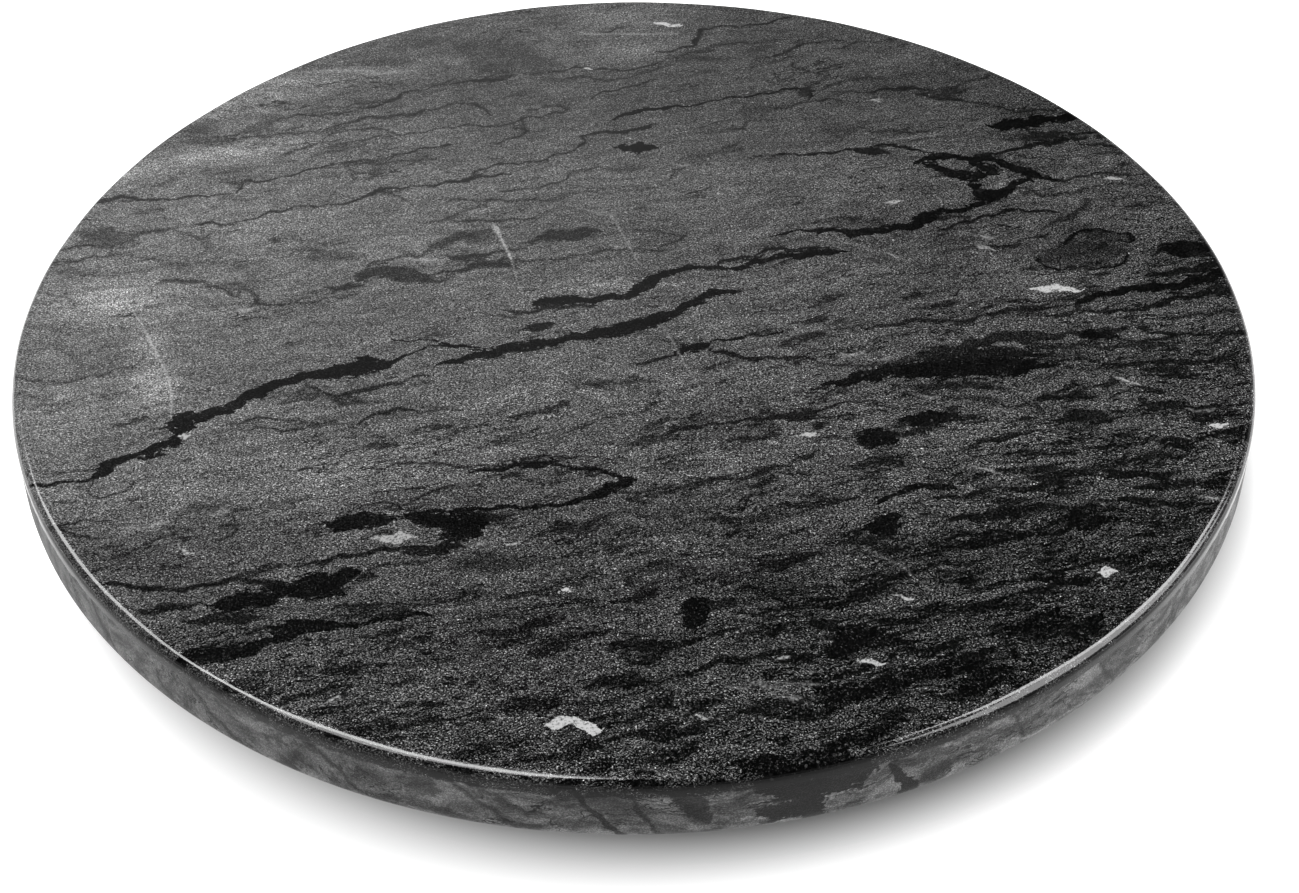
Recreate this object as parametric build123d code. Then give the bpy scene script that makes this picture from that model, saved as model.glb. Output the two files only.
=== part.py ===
from build123d import *
import os

# A lazy susan turntable. A polished stone plate turns on a thin ring bearing, four-point contact balls in
# a nylon cage between two aluminium rings. The fixed ring is screwed to a moulded, ribbed base on six
# rubber feet. The turning ring is screwed from below, through the base's access hole, into brass anchors
# that are bonded into the stone.
#
# Frame: millimetres, +Z up along the turning axis, origin on the table under the middle of the plate.

# ---------------------------------------------------------------- driving dimensions

# Stone plate
plate_diameter = 305.0
plate_thickness = 18.0
plate_top_edge_radius = 2.5
plate_bottom_edge_radius = 4.0

# Bearing
bearing_diameter = 140.0
fixed_ring_width = 16.0
turning_ring_width = 14.0
ring_thickness = 8.0
ring_step = 1.0                # the turning ring stands this much higher than the fixed ring
race_gap = 2.0                 # between the two rings, where the cage runs
ring_edge_chamfer = 0.5
ball_diameter = 4.7625         # a standard 3/16 in ball
ball_count = 36

# Damping pad between the turning ring and the stone
pad_thickness = 1.0
pad_edge_inset = 0.6

# Base moulding
base_diameter = 200.0
base_height = 10.0
base_wall = 3.0
base_top_edge_radius = 2.5
base_bottom_edge_radius = 0.6
rib_thickness = 1.8
rib_count = 12
hub_rib_radius = 14.0
lip_height = 1.5
lip_thickness = 2.0
access_hole_diameter = 11.0
access_boss_wall = 2.2
access_plug_wall = 1.2
access_plug_edge_radius = 0.8

# Feet
foot_count = 6
foot_diameter = 18.0
foot_bottom_taper = 1.0        # how much smaller the foot's radius is where it meets the table
foot_standoff = 2.5            # the base's lower edge stands this far above the table
foot_socket_depth = 3.5
foot_socket_wall = 2.0
foot_recess_diameter = 10.4
foot_recess_depth = 3.4
foot_edge_radius = 0.8

# Fasteners
machine_screw_diameter = 4.0
machine_head_diameter = 7.6
machine_head_rim = 0.3         # the straight rim of a countersunk head
machine_tip_chamfer = 0.5
machine_recess_width = 4.2
machine_recess_depth = 1.9
fixed_screw_length = 14.0
turning_screw_length = 16.0
ring_screw_count = 4
foot_screw_diameter = 3.5
foot_screw_length = 8.0        # below the head
foot_head_diameter = 7.0
foot_head_height = 2.1
foot_screw_point = 1.2         # how far back from its tip the screw begins to taper
foot_recess_width = 3.6
foot_cross_depth = 1.4
washer_diameter = 9.0
washer_thickness = 0.8

# Brass anchors in the stone and threaded inserts in the base
anchor_diameter = 7.6
anchor_length = 10.0
insert_diameter = 6.2
insert_length = 8.0
insert_wall = 2.2              # plastic left around an insert

# Ball loading plug in the fixed ring, and the spring pin that holds it
plug_extra_diameter = 0.5      # the loading hole is this much wider than a ball
pin_diameter = 2.0
pin_wall = 0.4
pin_slot = 0.5
pin_end_skin = 0.8             # metal left under the pin's blind hole
pin_sink = 0.2                 # how far the pin lies below the ring's top face

# ---------------------------------------------------------------- clearances

race_clearance = 0.08          # ball to either groove
pocket_clearance = 0.10        # ball to cage pocket
cage_clearance = 0.30          # cage to either ring, and to the ends of the gap
fit_clearance = 0.02           # a pressed or bonded piece in its hole, on radius
screw_clearance = 0.05         # a screw in its threaded hole, on radius
shank_clearance = 0.25         # a screw through a plain hole, on radius
head_clearance = 0.10          # a countersunk head in its cone
stone_bond_gap = 0.20          # adhesive round an anchor
socket_clearance = 0.15        # a foot in its socket, on radius
lip_clearance = 0.20           # the fixed ring inside the base's lip
hole_end_clearance = 0.50      # past the tip of a screw or the end of an insert

# ---------------------------------------------------------------- angles of the patterns, in degrees

rib_angle = 360.0 / rib_count
screw_angle = 360.0 / ring_screw_count
fixed_screw_start = 1.5 * rib_angle       # midway between two ribs
access_angle = 0.5 * rib_angle            # also midway between two ribs
turning_screw_start = access_angle        # one screw stands over the access hole
plug_angle = fixed_screw_start + 0.5 * screw_angle

# ---------------------------------------------------------------- levels, from the table up

base_bottom_z = foot_standoff
base_top_z = base_bottom_z + base_height
base_ceiling_z = base_top_z - base_wall
foot_socket_z = base_bottom_z + foot_socket_depth
foot_head_z = foot_recess_depth - washer_thickness
foot_screw_tip_z = foot_head_z + foot_screw_length
fixed_ring_z = base_top_z
fixed_ring_top_z = fixed_ring_z + ring_thickness
turning_ring_z = base_top_z + ring_step
turning_ring_top_z = turning_ring_z + ring_thickness
pad_z = turning_ring_top_z
plate_z = pad_z + pad_thickness
plate_top_z = plate_z + plate_thickness
ball_z = (turning_ring_z + fixed_ring_top_z) / 2

# ---------------------------------------------------------------- radii

plate_radius = plate_diameter / 2
base_radius = base_diameter / 2
base_inner_radius = base_radius - base_wall
ball_radius = ball_diameter / 2
groove_radius = ball_radius + race_clearance
fixed_ring_outer = bearing_diameter / 2
fixed_ring_inner = fixed_ring_outer - fixed_ring_width
pitch_radius = fixed_ring_inner - race_gap / 2
turning_ring_outer = pitch_radius - race_gap / 2
turning_ring_inner = turning_ring_outer - turning_ring_width
fixed_screw_radius = (pitch_radius + groove_radius + fixed_ring_outer) / 2
turning_screw_radius = (pitch_radius - groove_radius + turning_ring_inner) / 2
foot_radius = foot_diameter / 2
foot_socket_radius = foot_radius + socket_clearance
foot_boss_radius = foot_socket_radius + foot_socket_wall
foot_circle_radius = base_inner_radius - foot_boss_radius + foot_socket_wall
loading_hole_radius = ball_radius + plug_extra_diameter / 2
screw_hole_radius = machine_screw_diameter / 2 + shank_clearance
ring_rib_radii = [turning_screw_radius - rib_thickness, fixed_ring_outer]

STANDING = (Align.CENTER, Align.CENTER, Align.MIN)


# ---------------------------------------------------------------- helpers

def disc(radius, height, z):
    """A cylinder standing on the level z."""
    return Pos(0, 0, z) * Cylinder(radius, height, align=STANDING)


def ring(outer, inner, height, z):
    """A plain ring standing on the level z."""
    return disc(outer, height, z) - disc(inner, height, z)


def round_about(count, start=0.0):
    """Turns about Z that carry a piece from the X axis to each place of a circular pattern."""
    return [Rot(0, 0, start + 360.0 / count * i) for i in range(count)]


def pattern(piece, places):
    """The piece repeated at each place."""
    return [place * piece for place in places]


def cross_recess(width, depth, z, upward):
    """The cutter for a cross recess: two crossed blades that narrow towards their tip."""
    tip = 0.45 * width
    blade = 0.22 * width
    lean = Plane.XZ.offset(-blade / 2)
    way = 1 if upward else -1
    outline = Polyline((-width / 2, z), (width / 2, z), (tip / 2, z + way * depth),
                       (-tip / 2, z + way * depth), close=True)
    first = extrude(lean * make_face(outline), blade)
    return first + Rot(0, 0, 90) * first


def grooved_sleeve(radius, length, bore, z, grooves=3):
    """A brass sleeve with shallow retaining grooves, standing on the level z."""
    groove_depth = 0.08 * radius
    pitch = length / (2 * grooves + 1)
    sleeve = ring(radius, bore, length, z)
    for i in range(grooves):
        low = z + pitch * (2 * i + 1)
        sleeve -= ring(radius + 1, radius - groove_depth, pitch, low)
    return sleeve


def countersunk_screw(length, z, upward):
    """A countersunk machine screw whose flat head face lies on the level z."""
    shank = machine_screw_diameter / 2
    head = machine_head_diameter / 2
    rim = machine_head_rim
    chamfer_size = machine_tip_chamfer
    way = 1 if upward else -1
    outline = Polyline((0, z), (head, z), (head, z + way * rim),
                       (shank, z + way * (rim + head - shank)),
                       (shank, z + way * (length - chamfer_size)),
                       (shank - chamfer_size, z + way * length), (0, z + way * length), close=True)
    body = revolve(Plane.XZ * make_face(outline), Axis.Z)
    return body - cross_recess(machine_recess_width, machine_recess_depth, z, upward)


def countersunk_hole(length, z, upward):
    """The cutter for a countersunk screw's clearance hole, its mouth on the level z."""
    shank = screw_hole_radius
    head = machine_head_diameter / 2 + head_clearance
    mouth = machine_head_rim + head_clearance
    way = 1 if upward else -1
    outline = Polyline((0, z - way), (head, z - way), (head, z + way * mouth),
                       (shank, z + way * (mouth + head - shank)), (shank, z + way * (length + 1)),
                       (0, z + way * (length + 1)), close=True)
    return revolve(Plane.XZ * make_face(outline), Axis.Z)


def edges_at(solid, z, radius):
    """The circular edges of a solid at a level and a radius."""
    found = solid.edges().filter_by(GeomType.CIRCLE)
    return [e for e in found if abs(e.center().Z - z) < 1e-4 and abs(e.radius - radius) < 1e-4]


# ---------------------------------------------------------------- turning pieces

def anchor_places():
    return [turn * Pos(turning_screw_radius, 0, 0)
            for turn in round_about(ring_screw_count, turning_screw_start)]


def marble_plate():
    """The stone plate, with blind holes for its anchors underneath."""
    plate = disc(plate_radius, plate_thickness, plate_z)
    plate = fillet(edges_at(plate, plate_top_z, plate_radius), plate_top_edge_radius)
    plate = fillet(edges_at(plate, plate_z, plate_radius), plate_bottom_edge_radius)
    hole = disc(anchor_diameter / 2 + stone_bond_gap, anchor_length + hole_end_clearance, plate_z)
    return plate - pattern(hole, anchor_places())


def plate_anchors():
    """Brass anchors, flush with the underside of the stone."""
    bore = machine_screw_diameter / 2 + screw_clearance
    sleeve = grooved_sleeve(anchor_diameter / 2, anchor_length, bore, plate_z)
    return pattern(sleeve, anchor_places())


def damping_pad():
    """The soft ring that beds the turning ring on the stone."""
    pad = ring(turning_ring_outer - pad_edge_inset, turning_ring_inner + pad_edge_inset,
               pad_thickness, pad_z)
    hole = disc(screw_hole_radius, pad_thickness, pad_z)
    return pad - pattern(hole, anchor_places())


def raceway():
    """The cutter for the groove that the balls run in."""
    return Pos(0, 0, ball_z) * Torus(pitch_radius, groove_radius)


def turning_ring():
    """The inner ring, countersunk from below."""
    body = ring(turning_ring_outer, turning_ring_inner, ring_thickness, turning_ring_z)
    rims = [edge for z in (turning_ring_z, turning_ring_top_z)
            for radius in (turning_ring_outer, turning_ring_inner)
            for edge in edges_at(body, z, radius)]
    body = chamfer(rims, ring_edge_chamfer)
    hole = countersunk_hole(ring_thickness, turning_ring_z, upward=True)
    return body - raceway() - pattern(hole, anchor_places())


def turning_ring_screws():
    """The screws from the turning ring up into the anchors."""
    screw = countersunk_screw(turning_screw_length, turning_ring_z + head_clearance, upward=True)
    return pattern(screw, anchor_places())


# ---------------------------------------------------------------- rolling pieces

def ball_places():
    return [turn * Pos(pitch_radius, 0, ball_z) for turn in round_about(ball_count)]


def bearing_balls():
    return pattern(Sphere(ball_radius), ball_places())


def ball_cage():
    """A thin nylon strip ring with a round pocket for each ball."""
    height = fixed_ring_top_z - turning_ring_z - 2 * cage_clearance
    thickness = race_gap - 2 * cage_clearance
    cage = ring(pitch_radius + thickness / 2, pitch_radius - thickness / 2, height,
                ball_z - height / 2)
    pocket = Rot(0, 90, 0) * Cylinder(ball_radius + pocket_clearance, 3 * race_gap)
    return cage - pattern(pocket, ball_places())


# ---------------------------------------------------------------- fixed pieces

def fixed_screw_places():
    return [turn * Pos(fixed_screw_radius, 0, 0)
            for turn in round_about(ring_screw_count, fixed_screw_start)]


def loading_bore(radius):
    """A radial cylinder through the fixed ring's wall, at the level of the balls."""
    length = fixed_ring_width + 2
    middle = (fixed_ring_outer + fixed_ring_inner) / 2
    return Rot(0, 0, plug_angle) * Pos(middle, 0, ball_z) * Rot(0, 90, 0) * Cylinder(radius, length)


def pin_place():
    return Rot(0, 0, plug_angle) * Pos((fixed_ring_outer + fixed_ring_inner) / 2, 0, 0)


def pin_bore(radius):
    """The spring pin's blind hole, drilled from the top of the fixed ring through the plug."""
    floor_z = fixed_ring_z + pin_end_skin
    return pin_place() * disc(radius, fixed_ring_top_z - floor_z, floor_z)


def fixed_ring_blank():
    body = ring(fixed_ring_outer, fixed_ring_inner, ring_thickness, fixed_ring_z)
    rims = [edge for z in (fixed_ring_z, fixed_ring_top_z)
            for radius in (fixed_ring_outer, fixed_ring_inner)
            for edge in edges_at(body, z, radius)]
    return chamfer(rims, ring_edge_chamfer)


def fixed_ring():
    """The outer ring, countersunk from above, with the hole that the balls are loaded through."""
    hole = countersunk_hole(ring_thickness, fixed_ring_top_z, upward=False)
    body = fixed_ring_blank() - raceway() - pattern(hole, fixed_screw_places())
    return body - loading_bore(loading_hole_radius) - pin_bore(pin_diameter / 2)


def loading_plug():
    """The plug that closes the loading hole. Its inner end carries on the groove."""
    plug = fixed_ring_blank() & loading_bore(loading_hole_radius - fit_clearance)
    return plug - raceway() - pin_bore(pin_diameter / 2)


def plug_pin():
    """A slotted spring pin."""
    radius = pin_diameter / 2 - fit_clearance
    floor_z = fixed_ring_z + pin_end_skin
    length = ring_thickness - pin_end_skin - fit_clearance - pin_sink
    pin = ring(radius, radius - pin_wall, length, floor_z + fit_clearance)
    slot = Pos(radius, 0, floor_z) * Box(2 * radius, pin_slot, ring_thickness, align=STANDING)
    return pin_place() * (pin - slot)


def fixed_ring_screws():
    screw = countersunk_screw(fixed_screw_length, fixed_ring_top_z - head_clearance, upward=False)
    return pattern(screw, fixed_screw_places())


def base_inserts():
    """Brass threaded inserts, just under the base's top face."""
    bore = machine_screw_diameter / 2 + screw_clearance
    sleeve = grooved_sleeve(insert_diameter / 2, insert_length, bore,
                            base_top_z - insert_length - fit_clearance, grooves=2)
    return pattern(sleeve, fixed_screw_places())


def access_place():
    return Rot(0, 0, access_angle) * Pos(turning_screw_radius, 0, 0)


def foot_places():
    return [turn * Pos(foot_circle_radius, 0, 0) for turn in round_about(foot_count)]


def base_ribs():
    """Radial and round ribs, and the bosses, all as deep as the skirt."""
    depth = base_ceiling_z - base_bottom_z
    radial = Pos(hub_rib_radius, 0, base_bottom_z) * Box(
        base_radius - hub_rib_radius, rib_thickness, depth,
        align=(Align.MIN, Align.CENTER, Align.MIN))
    ribs = ring(hub_rib_radius + rib_thickness / 2, hub_rib_radius - rib_thickness / 2,
                depth, base_bottom_z)
    for radius in ring_rib_radii:
        ribs += ring(radius + rib_thickness / 2, radius - rib_thickness / 2, depth, base_bottom_z)
    ribs += pattern(radial, round_about(rib_count))
    insert_boss = disc(insert_diameter / 2 + insert_wall, depth, base_bottom_z)
    foot_boss = disc(foot_boss_radius, depth, base_bottom_z)
    access_boss = disc(access_hole_diameter / 2 + access_boss_wall, depth, base_bottom_z)
    ribs += pattern(insert_boss, fixed_screw_places())
    ribs += pattern(foot_boss, foot_places())
    ribs += access_place() * access_boss
    return ribs & disc(base_radius - base_wall / 2, depth, base_bottom_z)


def base_shell():
    """The moulded base: a skirted disc with ribs below and a lip round the fixed ring above."""
    shell = disc(base_radius, base_height, base_bottom_z)
    shell = fillet(edges_at(shell, base_top_z, base_radius), base_top_edge_radius)
    shell = fillet(edges_at(shell, base_bottom_z, base_radius), base_bottom_edge_radius)
    shell -= disc(base_inner_radius, base_ceiling_z - base_bottom_z, base_bottom_z)
    shell += base_ribs()
    lip_inner = fixed_ring_outer + lip_clearance
    shell += ring(lip_inner + lip_thickness, lip_inner, lip_height, base_top_z)
    insert_hole = disc(insert_diameter / 2 + fit_clearance, insert_length + hole_end_clearance,
                       base_top_z - insert_length - hole_end_clearance)
    shell -= pattern(insert_hole, fixed_screw_places())
    socket = disc(foot_socket_radius, foot_socket_depth, base_bottom_z)
    pilot_depth = foot_screw_tip_z + hole_end_clearance - foot_socket_z
    pilot = disc(foot_screw_diameter / 2 + screw_clearance, pilot_depth, foot_socket_z)
    shell -= pattern(socket, foot_places())
    shell -= pattern(pilot, foot_places())
    shell -= access_place() * disc(access_hole_diameter / 2, base_height, base_bottom_z)
    return shell


def foot():
    """One rubber foot at the origin: tapered, with a recess below for its washer and screw."""
    top = foot_socket_z
    wide = foot_radius
    narrow = foot_radius - foot_bottom_taper
    outline = Polyline((0, 0), (narrow, 0), (wide, base_bottom_z), (wide, top), (0, top), close=True)
    body = revolve(Plane.XZ * make_face(outline), Axis.Z)
    body = fillet(edges_at(body, 0, narrow), foot_edge_radius)
    recess = disc(foot_recess_diameter / 2, foot_recess_depth, 0)
    hole = disc(foot_screw_diameter / 2 + shank_clearance, top, 0)
    return body - recess - hole


def foot_washers():
    bore = foot_screw_diameter / 2 + shank_clearance
    washer = ring(washer_diameter / 2, bore, washer_thickness, foot_head_z)
    return pattern(washer, foot_places())


def foot_screws():
    """Pan head screws up through the feet into the base."""
    shank = foot_screw_diameter / 2
    head = foot_head_diameter / 2
    low = foot_head_z - foot_head_height
    tip = foot_screw_tip_z
    crown = foot_head_height / 2
    outline = Polyline((0, low), (head - crown, low), (head, low + crown), (head, foot_head_z),
                       (shank, foot_head_z), (shank, tip - foot_screw_point),
                       (shank / 3, tip), (0, tip), close=True)
    screw = revolve(Plane.XZ * make_face(outline), Axis.Z)
    screw -= cross_recess(foot_recess_width, foot_cross_depth, low, upward=True)
    return pattern(screw, foot_places())


def access_plug():
    """A soft cup-shaped plug that closes the access hole, flush with the bottom of the base."""
    radius = access_hole_diameter / 2 - fit_clearance
    height = base_height - base_wall / 2
    wall = access_plug_wall
    cup = disc(radius, height, base_bottom_z)
    cup = fillet(edges_at(cup, base_bottom_z + height, radius), access_plug_edge_radius)
    return access_place() * (cup - disc(radius - wall, height - wall, base_bottom_z))


# ---------------------------------------------------------------- writing the parts

def build_parts():
    """Every node's name and its solid or solids."""
    parts = {
        "marble_plate": marble_plate(),
        "plate_anchors": plate_anchors(),
        "damping_pad": damping_pad(),
        "turning_ring": turning_ring(),
        "turning_ring_screws": turning_ring_screws(),
        "bearing_balls": bearing_balls(),
        "ball_cage": ball_cage(),
        "fixed_ring": fixed_ring(),
        "loading_plug": loading_plug(),
        "plug_pin": plug_pin(),
        "fixed_ring_screws": fixed_ring_screws(),
        "base_inserts": base_inserts(),
        "base_shell": base_shell(),
        "access_plug": access_plug(),
        "foot_washers": foot_washers(),
        "foot_screws": foot_screws(),
    }
    for number, place in enumerate(foot_places(), start=1):
        parts[f"foot_{number}"] = place * foot()
    return parts


def solids_of(piece):
    """One shape that holds every solid of a piece or a list of pieces."""
    pieces = piece if isinstance(piece, list) else [piece]
    return Compound(children=[solid for one in pieces for solid in one.solids()])


os.makedirs("parts", exist_ok=True)
for name, piece in build_parts().items():
    export_step(solids_of(piece), f"parts/{name}.step")
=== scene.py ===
import math

import bpy
import numpy as np
from mathutils import Matrix, Vector
from mathutils.geometry import delaunay_2d_cdt


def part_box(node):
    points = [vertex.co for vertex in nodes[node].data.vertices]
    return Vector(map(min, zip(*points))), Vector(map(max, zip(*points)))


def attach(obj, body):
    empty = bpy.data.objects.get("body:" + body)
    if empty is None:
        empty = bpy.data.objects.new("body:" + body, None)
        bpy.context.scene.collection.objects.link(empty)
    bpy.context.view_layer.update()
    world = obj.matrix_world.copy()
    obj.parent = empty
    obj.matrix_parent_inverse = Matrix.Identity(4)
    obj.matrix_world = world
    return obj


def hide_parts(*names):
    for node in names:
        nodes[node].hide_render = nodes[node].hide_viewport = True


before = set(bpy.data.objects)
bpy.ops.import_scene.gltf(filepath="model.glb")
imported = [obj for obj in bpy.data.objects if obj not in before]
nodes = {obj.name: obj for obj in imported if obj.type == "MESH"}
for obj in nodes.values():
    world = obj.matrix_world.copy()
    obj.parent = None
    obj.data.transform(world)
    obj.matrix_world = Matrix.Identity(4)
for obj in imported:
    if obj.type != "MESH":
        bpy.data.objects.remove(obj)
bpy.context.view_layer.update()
MM = 0.001


# ------------------------------------------------------------------ node helpers

class Graph:
    """Short names for the nodes of one material or world."""

    def __init__(self, tree):
        self.tree = tree
        tree.nodes.clear()

    def put(self, socket, value):
        if isinstance(value, bpy.types.NodeSocket):
            self.tree.links.new(value, socket)
        else:
            socket.default_value = value

    def node(self, kind, inputs=(), **settings):
        made = self.tree.nodes.new(kind)
        for name, value in settings.items():
            setattr(made, name, value)
        for name, value in dict(inputs).items():
            self.put(made.inputs[name], value)
        return made

    def math(self, op, a, b=0.0):
        return self.node("ShaderNodeMath", {0: a, 1: b}, operation=op).outputs[0]

    def add(self, a, b):
        return self.math("ADD", a, b)

    def sub(self, a, b):
        return self.math("SUBTRACT", a, b)

    def mul(self, a, b):
        return self.math("MULTIPLY", a, b)

    def top(self, *values):
        """The greatest of some values."""
        best = values[0]
        for value in values[1:]:
            best = self.math("MAXIMUM", best, value)
        return best

    def ramp(self, value, low, high, to_low=0.0, to_high=1.0, kind="SMOOTHSTEP"):
        """value from low..high onto to_low..to_high, clamped, with eased ends."""
        return self.node("ShaderNodeMapRange",
                         {"Value": value, "From Min": low, "From Max": high,
                          "To Min": to_low, "To Max": to_high},
                         interpolation_type=kind).outputs[0]

    def line(self, value, low, high, to_low, to_high):
        """The same, but straight."""
        return self.ramp(value, low, high, to_low, to_high, "LINEAR")

    def vector(self, op, a, b=(0, 0, 0)):
        made = self.node("ShaderNodeVectorMath", {0: a, 1: b}, operation=op)
        return made.outputs["Value" if op in ("DOT_PRODUCT", "LENGTH") else "Vector"]

    def scaled(self, vector, x, y, z):
        return self.vector("MULTIPLY", vector, (x, y, z))

    def noise(self, vector, scale, detail, roughness, colour=False):
        made = self.node("ShaderNodeTexNoise",
                         {"Vector": vector, "Scale": scale, "Detail": detail, "Roughness": roughness})
        return made.outputs["Color" if colour else "Fac"]

    def millimetres(self):
        """Where a point is on the piece at rest, in millimetres."""
        place = self.node("ShaderNodeTexCoord").outputs["Object"]
        return self.scaled(place, 1000, 1000, 1000)

    def attribute(self, name):
        return self.node("ShaderNodeAttribute", attribute_name=name).outputs["Fac"]

    def grey(self, value, tint=(1.0, 1.0, 1.0)):
        """A colour from one brightness and a fixed tint."""
        parts = {axis: self.mul(value, part) for axis, part in zip("XYZ", tint)}
        return self.node("ShaderNodeCombineXYZ", parts).outputs[0]

    def bump(self, height, strength, distance):
        return self.node("ShaderNodeBump", {"Height": height, "Strength": strength,
                                            "Distance": distance}).outputs[0]


def material(name):
    made = bpy.data.materials.new(name)
    made.use_nodes = True
    graph = Graph(made.node_tree)
    shader = graph.node("ShaderNodeBsdfPrincipled")
    out = graph.node("ShaderNodeOutputMaterial")
    graph.put(out.inputs["Surface"], shader.outputs[0])
    return made, graph, shader


# ------------------------------------------------------------------ the stone's figure
# Millimetres from the middle of the plate's top, x to the right and y away from the front.
# A stroke is (strength, [(x, y, half width), ...]). Strokes that go past the plate's radius run on
# down its side: 1 mm outside the radius is about 1 mm below the top. DARK is the black veins and
# lenses, WHITE the spots of spar, STREAKS the fine pale scratches and threads.

def lens(strength, x, y, length, half, angle=12):
    """A stroke for a patch that tapers to both ends; the angle is in degrees from x."""
    a = math.radians(angle)
    along = [(-0.5, 0.35), (-0.28, 0.85), (0.05, 1.0), (0.3, 0.8), (0.5, 0.3)]
    return strength, [(x + t * length * math.cos(a), y + t * length * math.sin(a), w * half)
                  for t, w in along]


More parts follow.
